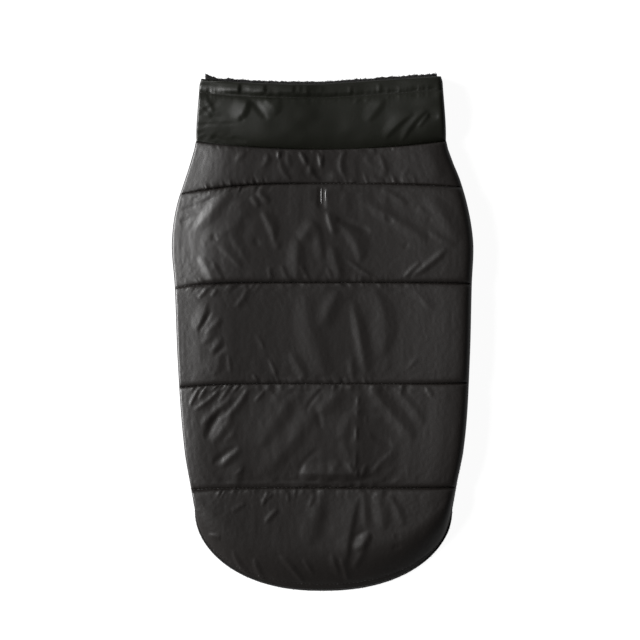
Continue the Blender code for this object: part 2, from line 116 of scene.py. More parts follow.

# ---------------------------------------------------------------- creases
# Creases, listed one by one: ridges, or troughs where "height" is negative. Each runs from one place to
# another, downwards or to the right. "left" and "right" are the widths of the flanks on its two
# sides as one goes along it (below and above where it goes right), and "bow" is how far its
# middle stands off to the right, or up. A row gives these in turn.
Crease = namedtuple("Crease", "across down to_across to_down left right height bow")
CREST_SHARE, CREST_RANGE = 0.18, (0.4, 1.4)
END_WIDTH, SOFT_FOOT = 0.4, 0.2
YOKE_CREASES = [
    (-60, 1.6, -68.8, 9.6, 2.8, 2.8, 0.35, 0),
    (-43.2, 3.2, -48, 14.4, 3.2, 3.2, 0.45, 2),
    (-34.4, 0.8, -34.4, 8, 1.6, 1.6, 0.7, 0),
    (-33.6, 8, -24.8, 25.6, 2.8, 2.8, 0.4, -1.6),
    (-28, 3.2, -25.6, 14.4, 2.4, 2.8, 0.3, 0),
    (-17.6, 1.6, -12, 13.6, 2.4, 2.4, 0.75, 0.4),
    (-10.4, 11.2, -2.4, 25.6, 2.8, 2.8, 0.5, -1.6),
    (-2.4, 2.4, -1.6, 13.6, 1.3, 1.4, 0.5, 0),
    (0, 4, -1.2, 15.2, 1.3, 1.6, 0.6, 0.4),
    (-10.4, 20.8, 8.8, 21.6, 4.4, 4.8, -0.7, 0.8),
    (17.6, 1.6, 19.2, 23.2, 2.8, 4, 0.55, -3.2),
    (33.6, 6.4, 44.8, 16.8, 3.2, 3.2, 0.2, 0),
    (44.8, 4, 49.6, 22.4, 6.4, 3.2, 0.45, 2),
    (68.8, 16, 64, 20.8, 1.6, 2, 0.2, 0),
    (84.8, 0.8, 92, 24, 9.6, 7.2, 0.4, 2.4),
]
SLIT_BAND_CREASES = [
    (-72.8, 33.6, -101.6, 64.8, 5.6, 6.4, 0.7, 0),
    (-80, 36, -113.6, 48.8, 2.4, 2.4, -0.3, 0.8),
    (-101.6, 53.6, -113.6, 58.4, 2.4, 2.4, -0.3, 0),
    (-98.4, 48.8, -106.4, 50.4, 1.6, 1.6, -0.2, 0),
    (-65.6, 40, -62.4, 56.8, 8, 9.6, 0.55, -0.8),
    (-62.4, 56, -85.6, 70.4, 6.4, 6.4, 0.45, 0.8),
    (-88, 68.8, -83.2, 72.8, 2.4, 2.4, -0.4, 0),
    (-87.2, 72, -63.2, 96, 2.4, 6.4, 0.4, 0.8),
    (-72.8, 66.4, -58.4, 91.2, 4, 4.8, 0.35, 0),
    (-97.6, 85.6, -85.6, 105.6, 4.8, 4, 0.6, 0.8),
    (-87.2, 89.6, -79.2, 105.6, 4, 3.2, 0.5, 0),
    (-48, 49.6, -37.6, 72, 3.6, 6.4, 0.75, 1.6),
    (-39.2, 69.6, -34.4, 80, 3.2, 4.8, 0.4, 0),
    (-56, 37.6, -50.4, 46.4, 2.8, 3.2, 0.5, 0),
    (-51.2, 33.6, -41.6, 43.2, 3.2, 4, 0.6, 0),
    (-53.6, 70.4, -50.4, 77.6, 2.8, 2.8, -0.35, 0),
    (-5.6, 56.8, -17.6, 72.8, 6.4, 6.4, 0.83, 0.4),
    (-19.2, 70.4, -20, 104.8, 7.2, 6.4, 0.83, -0.4),
    (-32.8, 91.2, -27.2, 104.8, 2.4, 2.4, 0.35, 0),
    (-16.8, 92, -10.4, 104.8, 2.4, 2.4, 0.4, 0),
    (-42.4, 92.8, -40, 104.8, 2.4, 2.4, 0.3, 0),
    (-4, 57.6, 0, 89.6, 5.6, 3.2, 0.45, 0),
    (4, 49.6, 9.6, 68, 2.8, 6.4, 0.8, 0),
    (7.2, 76, 15.2, 104, 5.6, 4.8, 0.68, 0),
    (12.8, 57.6, 31.2, 90.4, 4.8, 9.6, 0.75, 4),
    (12, 55.2, 39.2, 65.6, 4.8, 2, -0.7, 0.4),
    (48, 32, 68, 44, 4, 3.2, 0.4, 0),
    (34.4, 42.4, 84, 72.8, 5.6, 5.6, 0.75, 0),
    (50.4, 53.6, 56.8, 58.4, 2.4, 2.4, -0.4, 0),
    (84, 64.8, 106.4, 77.6, 3.2, 3.2, 0.4, -0.8),
    (82.4, 38.4, 108.8, 74.4, 8, 8, 0.6, 1.6),
    (75.2, 46.4, 86.4, 54.4, 3.2, 3.2, 0.25, 0),
    (78.4, 89.6, 64.8, 102.4, 2.4, 3.2, 0.55, 0),
    (99.2, 79.2, 71.2, 101.6, 3.2, 3.2, 0.7, 0.8),
    (68.8, 74.4, 64.8, 79.2, 2, 2, -0.25, 0),
    (20, 88, 44, 104, 2.4, 2.8, 0.45, -0.8),
    (4, 93.6, 8, 104, 2, 2, 0.3, 0),
]
MIDDLE_BAND_CREASES = [
    (-91.2, 121.6, -100.8, 144.8, 6.4, 2.8, 0.6, 1.2),
    (-83.2, 111.2, -88, 117.6, 2, 2, 0.4, 0),
    (-90.4, 109.6, -98.4, 119.2, 2.4, 2, 0.45, 0),
    (-87.2, 128, -98.4, 145.6, 2, 2, -0.45, 0),
    (-80, 133.6, -93.6, 148.8, 2.8, 4, 0.6, 0.4),
    (-83.2, 144.8, -96, 155.2, 2.4, 2.4, 0.35, 0),
    (-79.2, 150.4, -88.8, 162.4, 2.8, 3.6, 0.45, 0),
    (-76, 156, -86.4, 164.8, 2.4, 2.4, -0.45, 0),
    (-74.4, 163.2, -72.8, 178.4, 2, 2, 0.25, 0),
    (-80, 161.6, -86.4, 180.8, 8, 4.8, 0.4, 0),
    (-59.6, 108, -70.4, 126.4, 2.4, 4, 0.5, 2.4),
    (-52.8, 147.2, -45.6, 160, 2, 2, 0.3, 0.4),
    (-42.4, 166.4, -36, 181.6, 2, 2, 0.35, 0.4),
    (-55.2, 179.2, -50.4, 185.6, 1.6, 2, 0.35, 0),
    (-14.4, 113.6, 4.8, 183.2, 11.2, 9.6, 0.68, -3.2),
    (-25.6, 161.6, -13.6, 184, 4.8, 4.8, 0.52, 0.8),
    (13.6, 112, -1.6, 142.4, 6.4, 8, 0.68, 0),
    (24, 120, 35.2, 179.2, 4.8, 6.4, 0.75, 0.8),
    (39.2, 109.6, 47.2, 165.6, 9.6, 8, 0.75, 7.2),
    (72.8, 112.8, 88, 128.8, 3.2, 5.6, 0.3, 0.8),
    (76, 166.4, 67.2, 175.2, 2.4, 2.4, 0.2, 0),
    (23.2, 164.8, 24.8, 183.2, 4, 3.2, 0.4, 0),
]
WAIST_BAND_CREASES = [
    (-98.4, 191.2, -105.6, 204.8, 2, 1.6, 0.45, 0),
    (-81.6, 191.2, -102.4, 208, 2, 2.8, 0.65, 1.2),
    (-92.8, 191.2, -98.4, 199.2, 1.6, 1.6, 0.35, 0),
    (-74.4, 191.2, -82.4, 201.6, 1.8, 2, 0.4, 0),
    (-71.2, 196.8, -96.8, 220, 4, 4, 0.8, 0.4),
    (-59.2, 190.4, -80.8, 216.8, 2.8, 4, 0.75, 2.4),
    (-44.8, 191.2, -53.6, 201.6, 1.6, 1.6, 0.35, 0),
    (-79.2, 205.6, -92.8, 232, 3.6, 3.6, -0.9, -0.8),
    (-71.2, 211.2, -88, 234.4, 3.2, 4.8, 0.6, 0.8),
    (-68.8, 225.6, -78.4, 233.6, 2, 2.4, 0.3, 0),
    (-67.2, 236.8, -87.2, 251.2, 3.2, 2.8, -0.6, -0.8),
    (-64, 237.6, -81.6, 253.6, 2.8, 4, 0.6, -0.4),
    (-64, 249.6, -69.6, 269.6, 9.6, 4, 0.45, 0),
    (-61.6, 253.6, -69.6, 260, 2, 2, 0.25, 0),
    (-24, 193.6, -51.2, 237.6, 10.4, 7.2, 0.6, 0.8),
    (-3.2, 206.4, -48, 260.8, 11.2, 7.2, 0.6, 0.8),
    (0.8, 190.4, -13.6, 209.6, 2, 2, -0.35, -0.8),
    (-3.2, 209.6, -0.8, 222.4, 2.8, 3.2, -0.3, 0),
    (-0.8, 238.4, -19.2, 262.4, 2.4, 3.2, -0.3, -4),
    (-20.8, 258.4, 39.2, 258.4, 5.6, 8, 1.35, 0),
    (16.8, 189.6, -3.2, 210.4, 7.2, 7.2, 0.6, 0.4),
    (29.6, 193.6, 26.4, 256, 4, 7.2, 0.35, -0.4),
    (29.2, 196, 28, 204.8, 1, 1, 0.3, 0),
    (28, 208, 27.7, 212.8, 1, 1, 0.25, 0),
    (27.5, 220, 27.2, 232.8, 1, 1, 0.45, 0),
    (27.2, 240, 26.4, 254.4, 1, 1, 0.25, 0),
    (24, 208.8, 16, 232.8, 6.4, 6.4, 0.6, -0.8),
    (16, 231.2, 28, 258.4, 6.4, 6.4, 0.52, 0),
    (28.8, 208.8, 46.4, 212, 3.2, 2.4, -0.35, 0),
    (37.6, 189.6, 73.6, 231.2, 6.4, 7.2, 0.9, 0),
    (57.6, 188.8, 80.8, 217.6, 5.6, 4, 0.45, 0.4),
    (82.4, 188.8, 88, 197.6, 2.4, 2.4, 0.25, 0),
    (38.4, 227.2, 56, 236.8, 4, 3.2, -0.4, 0.8),
    (58.4, 239.2, 38.4, 260, 2.4, 6.4, 0.4, -0.8),
    (35.2, 212, 35.2, 217.6, 1, 1, 0.2, 0),
    (20, 249.6, 28, 260.8, 2.4, 2.4, 0.4, 0),
    (35.2, 250.4, 31.2, 261.6, 2.4, 2.4, 0.4, 0),
    (28, 254.4, 28, 262.4, 1.2, 1.2, 0.4, 0),
    (14.4, 248, 7.2, 256, 4.8, 3.2, 0.25, 0),
]
TAIL_CREASES = [
    (-42.4, 272, -48, 284, 1.8, 2, 0.5, 0),
    (-40, 273.6, -43.2, 279.2, 1.4, 1.4, 0.35, 0),
    (-27.2, 272.8, -26.8, 281.6, 1.6, 1.6, 0.3, 0),
    (-5.6, 273.6, -10.4, 285.6, 2.4, 2, 0.3, 0),
    (-60.8, 281.6, -72, 288.8, 2.8, 2.4, 0.35, 0),
    (-35.2, 286.4, -45.6, 297.6, 2.6, 2.4, 0.55, 0),
    (-6.4, 280, -10.4, 316, 11.2, 8.8, 0.6, 0.8),
    (-91.2, 308, -80.8, 310.4, 3.2, 2.4, 0.5, 0.8),
    (-71.2, 320, -56.8, 341.6, 2.4, 3.2, 0.6, -2.4),
    (-54.4, 325.6, -46.4, 346.4, 2.8, 3.2, 0.6, -0.8),
    (-33.6, 323.2, -13.6, 348, 2.8, 3.2, 0.6, 0.4),
    (-15.2, 326.4, -6.4, 340, 2, 2.4, 0.4, 0),
    (-0.8, 273.6, -2.4, 297.6, 6.4, 5.6, 0.45, 0),
    (28.8, 275.2, 18.4, 332.8, 16, 3.2, 0.75, -1.2),
    (33.6, 271.2, 35.2, 302.4, 5.6, 4, 0.5, -0.4),
    (44, 272, 49.6, 303.2, 6.4, 6.4, 0.68, 0.4),
    (52, 275.2, 64.8, 300.8, 5.6, 4, 0.5, 2),
    (24.8, 309.6, 36.8, 304, 2.4, 2, -0.4, 0.8),
    (38.4, 305.6, 26.4, 320, 6.4, 4, 1.1, 0.8),
    (35.2, 312.8, 24.8, 335.2, 3.2, 4, 0.45, 0.4),
    (7.2, 322.4, 13.6, 340, 4, 2.8, 0.5, 0),
    (15.2, 324.8, 20.8, 345.6, 2.4, 4, 0.5, 0),
    (56, 316.8, 63.2, 316.8, 2.4, 2.4, -0.35, 0),
    (57.6, 308.8, 63.2, 308.8, 2.4, 2.4, -0.2, 0),
]
COLLAR_CREASES = [
    (-66.4, -54.4, -67.2, -44, 19.2, 1.8, 1.2, 0),
    (-57.6, -52.8, -57.6, -45.6, 4.4, 4, 0.3, 0),
    (-47.2, -54.4, -46, -43.2, 14.4, 1.8, 1, 0),
    (-23.2, -53.6, -23.6, -44, 17.6, 2, 0.8, 0),
    (-18.4, -52, -18.4, -44.8, 2, 2, 0.35, 0),
    (-12.8, -52, -12, -43.2, 2.4, 2.4, 0.3, 0),
    (-0.8, -51.2, -0.8, -44, 2.4, 2.4, 0.25, 0),
    (22.4, -51.2, 22.4, -44, 1.6, 2, 0.3, 0),
    (45.2, -52.8, 45.6, -43.2, 1.6, 2.4, 0.35, 0),
    (-60, -42.4, -68, -22.4, 10.4, 4, 1.2, 2.4),
    (-55.2, -38.4, -43.2, -23.2, 3.2, 3.2, -0.65, 0),
    (-48, -42.4, -35.2, -27.2, 6.4, 8, 0.75, 1.6),
    (-65.6, -26.4, -62.4, -22.4, 2, 2, -0.3, 0),
    (-97.6, -20, -66.4, -20.4, 1.6, 1.6, -0.25, 0),
    (-88.8, -10.4, -76.8, -7.2, 2.4, 2.4, -0.35, 0),
    (-72, -9.6, -60, -6.4, 2.4, 2.4, -0.35, 0),
    (-92.8, -41.6, -86.4, -28.8, 2.4, 2.4, 0.3, 0),
    (-96.8, -33.6, -88, -25.6, 2, 2, 0.25, 0),
    (49.6, -41.6, 35.2, -21.6, 8, 4, 0.6, 0.8),
    (40.8, -43.2, 33.6, -37.6, 2.4, 2, 0.3, 0),
    (30.4, -41.6, 24.8, -36, 2.4, 2, 0.2, 0),
    (72.8, -28.8, 49.6, -8, 7.2, 2.8, 0.7, -1.6),
    (84, -31.2, 63.2, -5.6, 4.8, 2.8, 0.75, -2.4),
    (84.8, -28, 76, -16.8, 2.4, 2.4, 0.45, 0),
    (84, -26.4, 92.8, -25.6, 2.8, 2.8, -0.4, 0),
]
BACK_CREASES = (
    YOKE_CREASES + SLIT_BAND_CREASES + MIDDLE_BAND_CREASES + WAIST_BAND_CREASES + TAIL_CREASES
)

# Gathers beside the sewn lines: which line, whether they are below it, from where to where across,
# their height, how far they reach, their pitch and how much they slant.
Gather = namedtuple("Gather", "line below start end height reach pitch slant")
GATHER_FADE, GATHER_FOOT = 6.0, 1.2
GATHERS = [
    (0, True, -90, 90, 0.25, 3.0, 3.4, 0.2),
    (0, False, 30, 72, 0.5, 3.4, 3.0, 0.5),
    (0, False, -90, 30, 0.2, 3.0, 4.0, 0.0),
    (1, False, -96, -44, 0.55, 3.2, 2.6, 0.3),
    (1, True, -96, -40, 0.5, 3.0, 2.6, -0.4),
    (1, False, 10, 76, 0.45, 5.0, 4.2, 0.4),
    (1, True, -40, 90, 0.2, 2.6, 3.6, 0.0),
    (2, False, -104, -70, 0.35, 3.4, 3.4, 0.6),
    (2, True, -108, -50, 0.5, 4.0, 3.0, -0.7),
    (2, False, -40, 60, 0.35, 4.0, 4.4, 0.0),
    (2, True, -40, 80, 0.3, 3.4, 4.6, 0.3),
    (3, True, -104, -56, 0.6, 4.4, 3.0, -0.8),
    (3, True, -56, 70, 0.35, 4.4, 4.6, -0.2),
    (3, False, -60, 40, 0.35, 4.0, 4.4, 0.3),
    (4, True, -94, -60, 0.55, 3.4, 2.8, -0.5),
    (4, True, -60, 60, 0.4, 4.4, 4.4, -0.1),
    (4, False, -30, 44, 0.5, 3.2, 5.0, 0.0),
]


# ---------------------------------------------------------------- curves of the pattern
def ease(value, start, end):
    """0 before start, 1 after end, and the smooth cubic 3t^2 - 2t^3 between."""
    t = np.clip((value - start) / (end - start), 0.0, 1.0)
    return t * t * (3.0 - 2.0 * t)


def curve(at, value, where):
    """A smooth cubic through the values, with slopes from each one's neighbours."""
    at, value = np.asarray(at, float), np.asarray(value, float)
    slope = np.gradient(value, at)
    i = np.clip(np.searchsorted(at, where) - 1, 0, len(at) - 2)
    step = at[i + 1] - at[i]
    t = (where - at[i]) / step
    return (
        value[i] * (1 + 2 * t) * (1 - t) ** 2
        + value[i + 1] * t * t * (3 - 2 * t)
        + step * slope[i] * t * (1 - t) ** 2
        - step * slope[i + 1] * t * t * (1 - t)
    )


def half_width(side, down):
    """Half width at a distance down: the sections' curve, then a superellipse round the tail."""
    at = [row.down for row in SECTIONS]
    level = np.minimum(down, TAIL_STARTS)
    left = curve(at, [row.left for row in SECTIONS], level)
    right = curve(at, [row.right for row in SECTIONS], level)
    depth = np.clip((down - TAIL_STARTS) / TAIL_DEPTH, 0, 1)
    return np.where(side < 0, left, right) * (1 - depth * depth) ** (TAIL_ROUNDNESS / 2)


def line_down(line, side):
    """How far down a sewn line is: its middle plus its end's rise times |side| to a power."""
    end = np.where(side < 0, line.left_end, line.right_end)
    return line.middle + end * np.abs(side) ** line.power


def column_share(a):
    """Spreads columns across the coat as 0.6 a + 0.4 sin(a pi / 2), closer near the sides."""
    return 0.6 * a + 0.4 * np.sin(a * np.pi / 2)


def tail_hem(a):
    """(across, down) of the back's hem: a part of the tail's superellipse, turned by angle."""
    angle = a * np.arccos(TAIL_CORNER / TAIL_DEPTH)
    reach = np.abs(np.sin(angle)) ** TAIL_ROUNDNESS
    width = half_width(a, np.full_like(a, TAIL_STARTS)) - HEM_INSET
    return np.sign(a) * width * reach, TAIL_STARTS + (TAIL_DEPTH - HEM_INSET) * np.cos(angle)


def band_place(a, band, t):
    """(across, down) of a point of the back: a blend of the two lines round its band."""
    side = column_share(a)
    upper = line_down(LINES[band], side)
    if band < LAST_BAND:
        down = (1 - t) * upper + t * line_down(LINES[band + 1], side)
        inset = HEM_INSET * ease(down, INSET_FROM, INSET_TO)
        return side * (half_width(side, down) - inset), down
    hem_across, hem_down = tail_hem(a)
    down = (1 - t) * upper + t * hem_down
    across = (1 - t) * side * (half_width(side, upper) - HEM_INSET) + t * hem_across
    edge = np.sign(a) * (half_width(a, down) - HEM_INSET)
    return np.where(np.abs(a) == 1, edge, across), down


def lining_height(down):
    """Height of the back's lining, which eases down to the floor past the belly's hem."""
    return LINING_HEIGHT * (1 - ease(down, LINING_FALLS_FROM, LINING_FALLS_TO))


def puff(t, power):
    """Fullness of a band between two sewn lines: the root of 1 - |2t - 1|^power."""
    return np.sqrt(np.clip(1 - np.abs(2 * t - 1) ** power, 0, 1))


def band_puff(t, steep):
    """Fullness of a back band: a share of it steep beside the stitching, and the rest round."""
    return steep * puff(t, 22.0) + (1 - steep) * puff(t, 2.6)


def tail_fall(to_hem):
    """Share of the tail's height near its hem: 1 - s^2, where s grows from 0 to 1 at the hem."""
    return 1 - (1 - np.clip(to_hem / TAIL_FALL, 0, 1)) ** 2


def side_crown(side, left, right):
    """Fullness across the coat: the root of 1 - |side|^power, with a power for each side."""
    return np.sqrt(np.clip(1 - np.abs(side) ** np.where(side < 0, left, right), 0, 1))


def hump(t):
    """1 - |2t - 1|^3: level in the middle of its run, and 0 at both ends and past them."""
    return 1 - np.abs(2 * np.clip(t, 0, 1) - 1) ** 3


def relief(creases, across, down):
    """Height of the creases at each place.

    Each is a tent across its line, with a straight flank on each side, a soft foot and a crest
    rounded over about a fifth of its narrower flank. It narrows and sinks towards both ends.
    """
    total = np.zeros_like(across)
    for row in creases:
        c = Crease(*row)
        dx, dy = c.to_across - c.across, c.to_down - c.down
        length = np.hypot(dx, dy)
        ux, uy = dx / length, dy / length
        run = ((across - c.across) * ux + (down - c.down) * uy) / length
        off = (across - c.across) * uy - (down - c.down) * ux - c.bow * 4 * run * (1 - run)
        fade = hump(run)
        width = np.where(off < 0, c.left, c.right) * (END_WIDTH + (1 - END_WIDTH) * fade)
        crest = np.clip(CREST_SHARE * min(c.left, c.right), *CREST_RANGE)
        height = 1 - (np.hypot(off, crest) - crest) / width
        total += c.height * fade * (height + np.sqrt(height * height + SOFT_FOOT**2)) / 2
    return total


# ---------------------------------------------------------------- random draws
def smooth_noise(places, seed, ring=0):
    """Even noise from -1 to 1: seeded values at whole numbers, joined by cosine curves.

    places is one array, or a pair of them for noise over a surface. ring is after how many whole
    numbers the last of them comes round again.
    """
    rng = np.random.default_rng(seed)
    if not isinstance(places, tuple):
        knots = rng.uniform(-1, 1, 512)
        whole = np.floor(places).astype(int)
        blend = (1 - np.cos((places - whole) * np.pi)) / 2
        return knots[whole % 512] * (1 - blend) + knots[(whole + 1) % 512] * blend
    first, second = places
    knots = rng.uniform(-1, 1, (256, 256))
    r, c = np.floor(first).astype(int), np.floor(second).astype(int)
    v = (1 - np.cos((first - r) * np.pi)) / 2
    u = (1 - np.cos((second - c) * np.pi)) / 2
    turn = ring or 256
    top = knots[r % 256, c % turn] * (1 - u) + knots[r % 256, (c + 1) % turn] * u
    low = knots[(r + 1) % 256, c % turn] * (1 - u) + knots[(r + 1) % 256, (c + 1) % turn] * u
    return top * (1 - v) + low * v


def gathers(across, from_line, to_line, band):
    """Small ridges across the sewn lines: noise along a line, fading away from it.

    To the noise is added half as much of 2.3 times its rate, and its reach wavers by 0.6 of itself.
    from_line and to_line are the distances from the lines above and below this band.
    """
    total = np.zeros_like(across)
    for k, row in enumerate(GATHERS):
        g = Gather(*row)
        if band != (g.line if g.below else g.line - 1):
            continue
        away = from_line if g.below else to_line
        shifted = (across - g.slant * (away if g.below else -away)) / g.pitch
        ridge = smooth_noise(shifted, 40 + k) + 0.5 * smooth_noise(2.3 * shifted, 80 + k)
        reach = g.reach * (1 + 0.6 * smooth_noise(shifted * 0.7, 120 + k))
        window = ease(across, g.start - GATHER_FADE, g.start + GATHER_FADE)
        window *= 1 - ease(across, g.end - GATHER_FADE, g.end + GATHER_FADE)
        total += g.height * window * ridge * np.exp(-((away / reach) ** 2)) * ease(away, 0, GATHER_FOOT)
    return total


# ---------------------------------------------------------------- settling cloth
def pairs(rows, columns, down, across):
    """Point pairs at one offset of a grid, as two lists that each share no point."""
    index = np.arange(rows * columns).reshape(rows, columns)
    second = np.roll(index, (-down, -across), axis=(0, 1))
    r, c = np.indices((rows, columns))
    real = (r + down < rows) & (c + across >= 0) & (c + across < columns)
    colour = ((r // down) if down else (c // across)) % 2
    return [(index[real & (colour == k)], second[real & (colour == k)]) for k in (0, 1)]


Cloth = namedtuple("Cloth", "spare_across spare_down hug bend rounds cap")
BIAS_STIFF, LEVEL_HUG = 0.35, 0.15  # on the bias against along the threads, level against upright


def settle(base, start, held, cloth):
    """Lets a sheet find its own folds, and gives how far each of its points has moved.

    The sheet's threads are longer than the base by the spare shares. Each round moves every pair
    of linked points back towards its own length, keeps the cloth from bending sharply, and draws
    the free points a little towards the padding under them. Held points don't move.
    """
    rows, columns = base.shape[:2]
    flat, place = base.reshape(-1, 3), start.reshape(-1, 3).copy()
    free = (~held).reshape(-1).astype(float)
    spare = cloth.spare_across.reshape(-1), cloth.spare_down.reshape(-1)
    links = []
    for down, across, stiff, only_out in (
        (0, 1, 1.0, False),
        (1, 0, 1.0, False),
        (1, 1, BIAS_STIFF, False),
        (1, -1, BIAS_STIFF, False),
        (0, 2, cloth.bend, True),
        (2, 0, cloth.bend, True),
    ):
        share = across**2 / (across**2 + down**2)
        for first, second in pairs(rows, columns, down, across):
            weight = free[first] + free[second]
            live = weight > 0
            first, second, weight = first[live], second[live], weight[live]
            extra = 1 + share * spare[0][first] + (1 - share) * spare[1][first]
            rest = np.linalg.norm(flat[second] - flat[first], axis=1) * extra
            part_first = (stiff * free[first] / weight)[:, None]
            part_second = (stiff * free[second] / weight)[:, None]
            links.append((first, second, rest, part_first, part_second, only_out))
    hug = free[:, None] * cloth.hug * np.array([LEVEL_HUG, LEVEL_HUG, 1.0])
    for _ in range(cloth.rounds):
        place += hug * (flat - place)
        for first, second, rest, part_first, part_second, only_out in links:
            gap = place[second] - place[first]
            pull = 1 - rest / (np.sqrt(np.einsum("ij,ij->i", gap, gap)) + 1e-9)
            if only_out:
                pull = np.minimum(pull, 0)
            gap *= pull[:, None]
            place[first] += part_first * gap
            place[second] -= part_second * gap
        place = flat + np.clip(place - flat, -cloth.cap, cloth.cap)
    return (place - flat).reshape(base.shape)


def double(points):
    """Twice as many steps: each new point is (-1, 9, 9, -1) / 16 of its neighbours."""
    before = np.concatenate([2 * points[:1] - points[1:2], points[:-1]])
    after = np.concatenate([points[1:], points[-1:]])
    far = np.concatenate([points[2:], 2 * points[-1:] - points[-2:-1], points[-1:]])
    middle = (9 * (points + after) - before - far) / 16
    return np.stack([points, middle], axis=1).reshape(-1, *points.shape[1:])[:-1]


def refine(grid):
    """A grid with twice as many steps both ways."""
    return double(double(grid).swapaxes(0, 1)).swapaxes(0, 1)


def surface_normals(grid):
    """Unit normals from the cross product of a grid's two directions."""
    normal = np.cross(np.gradient(grid, axis=0), np.gradient(grid, axis=1))
    return normal / (np.linalg.norm(normal, axis=2, keepdims=True) + 1e-12)


# ---------------------------------------------------------------- meshes
SHARP_FROM = np.radians(60)


def to_frame(across, down, high):
    """Points in the frame, in millimetres, from the pattern's across and down and a height."""
    return np.stack(np.broadcast_arrays(across + MIDDLE_X, ZERO_Y - down, high), axis=-1)


def make_piece(name, points, faces, finish, slot, nodes=()):
    """A smooth-shaded piece from points in millimetres, with its faces turned outwards."""
    mesh = bpy.data.meshes.new(name)
    mesh.from_pydata((points * MM).tolist(), [], [list(map(int, face)) for face in faces])
    work = bmesh.new()
    work.from_mesh(mesh)
    bmesh.ops.recalc_face_normals(work, faces=work.faces[:])
    work.to_mesh(mesh)
    work.free()
    mesh.shade_smooth()
    mesh.set_sharp_from_angle(angle=SHARP_FROM)
    mesh.materials.append(finish)
    piece = bpy.data.objects.new(name, mesh)
    bpy.context.collection.objects.link(piece)
    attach(piece, "root")
    if nodes:
        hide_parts(*nodes)
    return piece


def cells(index, ring=False):
    """Four-cornered faces between the rows and columns of an index grid."""
    if ring:
        index = np.column_stack([index, index[:, :1]])
    corners = (index[:-1, :-1], index[1:, :-1], index[1:, 1:], index[:-1, 1:])
    return np.stack(corners, axis=-1).reshape(-1, 4)


def body_mesh(outer, inner, keep=None, ring=False):
    """Points and faces of a body between two grids of the same size.

    keep says which cells are there, and points of no cell are left out. Every edge that belongs
    to one kept cell only is closed with a face from the outer grid to the inner one.
    """
    rows, columns = outer.shape[:2]
    index = np.arange(rows * columns).reshape(rows, columns)
    faces = cells(index, ring)
    if keep is not None:
        faces = faces[keep.reshape(-1)]
    starts, ends = faces.reshape(-1), np.roll(faces, -1, axis=1).reshape(-1)
    count = rows * columns
    alone = ~np.isin(starts * count + ends, ends * count + starts)
    starts, ends = starts[alone], ends[alone]
    sides = np.column_stack([ends, starts, starts + count, ends + count])
    faces = np.concatenate([faces, faces[:, ::-1] + count, sides])
    used, faces = np.unique(faces, return_inverse=True)
    points = np.concatenate([outer.reshape(-1, 3), inner.reshape(-1, 3)])
    return points[used], faces.reshape(-1, 4)


def shell_mesh(outer, inner):
    """Points and faces of a body between a fine grid and a coarse one of the same outline.

    Every coarse step spans the same number of fine ones, and the rim is closed with faces that
    have that many points on the fine side and two on the coarse side.
    """
    fine = np.arange(outer.shape[0] * outer.shape[1]).reshape(outer.shape[:2])
    coarse = np.arange(inner.shape[0] * inner.shape[1]).reshape(inner.shape[:2]) + fine.size
    faces = cells(fine).tolist() + cells(coarse)[:, ::-1].tolist()
    for high, low in (
        (fine[0], coarse[0]),
        (fine[-1], coarse[-1]),
        (fine[:, 0], coarse[:, 0]),
        (fine[:, -1], coarse[:, -1]),
    ):
        step = (len(high) - 1) // (len(low) - 1)
        for k in range(len(low) - 1):
            faces.append([*high[k * step : (k + 1) * step + 1], low[k + 1], low[k]])
    return np.concatenate([outer.reshape(-1, 3), inner.reshape(-1, 3)]), faces


def swept_bar(path, out, section):
    """Points and faces of a bar: a closed section (out, up) carried along a path, with flat ends."""
    up = np.array([0.0, 0.0, 1.0])
    section = np.asarray(section)
    if section.ndim == 2:
        section = np.broadcast_to(section, (len(path), *section.shape))
    points = path[:, None] + section[..., :1] * out[:, None] + section[..., 1:] * up
    count, sides = points.shape[:2]
    index = np.arange(count * sides).reshape(count, sides)
    faces = cells(index, ring=True).tolist()
    return points.reshape(-1, 3), faces + [index[0].tolist(), index[-1][::-1].tolist()]


def tufts(roots, tips, thick):
    """Points and faces of pile: a slim three-sided spike from each root to its tip."""
    way = tips - roots
    way = way / np.linalg.norm(way, axis=1, keepdims=True)
    first = np.cross(way, [0.31, 0.2, 0.93])
    first /= np.linalg.norm(first, axis=1, keepdims=True)
    second = np.cross(way, first)
    turn = np.arange(3) * 2 * np.pi / 3
    ring = first[:, None] * np.cos(turn)[:, None] + second[:, None] * np.sin(turn)[:, None]
    points = np.concatenate([roots[:, None] + thick * ring, tips[:, None]], axis=1)
    base = np.arange(len(roots))[:, None, None] * 4
    faces = base + np.array([[0, 1, 3], [1, 2, 3], [2, 0, 3], [2, 1, 0]])
    return points.reshape(-1, 3), faces.reshape(-1, 3)


# A stitch's rings: their place along it as a share of its length, and their radius and how far
# they sink as shares of its thickness.
ROD_RINGS = [(-0.5, 0.45, -0.5), (-0.25, 1.0, 0.0), (0.25, 1.0, 0.0), (0.5, 0.45, -0.5)]


def rods(middles, ways, length, thick):
    """Points and faces of stitches: six-sided rods with tapered ends, sunk at both ends."""
    turn = np.arange(6) * np.pi / 3
    up = np.array([0.0, 0.0, 1.0])
    aside = np.cross(ways, up)
    aside /= np.linalg.norm(aside, axis=1, keepdims=True)
    round_it = aside[:, None] * np.cos(turn)[:, None] + up * np.sin(turn)[:, None]
    rings = []
    for share, radius, sink in ROD_RINGS:
        centre = middles + share * length * ways + sink * thick * up
        rings.append(centre[:, None] + radius * thick * round_it)
    points = np.stack(rings, axis=1)
    index = np.arange(len(rings) * len(turn)).reshape(len(rings), len(turn))
    base = np.arange(len(middles))[:, None, None] * index.size
    faces = (base + cells(index, ring=True)).reshape(-1, 4).tolist()
    for end in (index[0], index[-1][::-1]):
        faces += (base[:, :, 0] + end).tolist()
    return points.reshape(-1, 3), faces


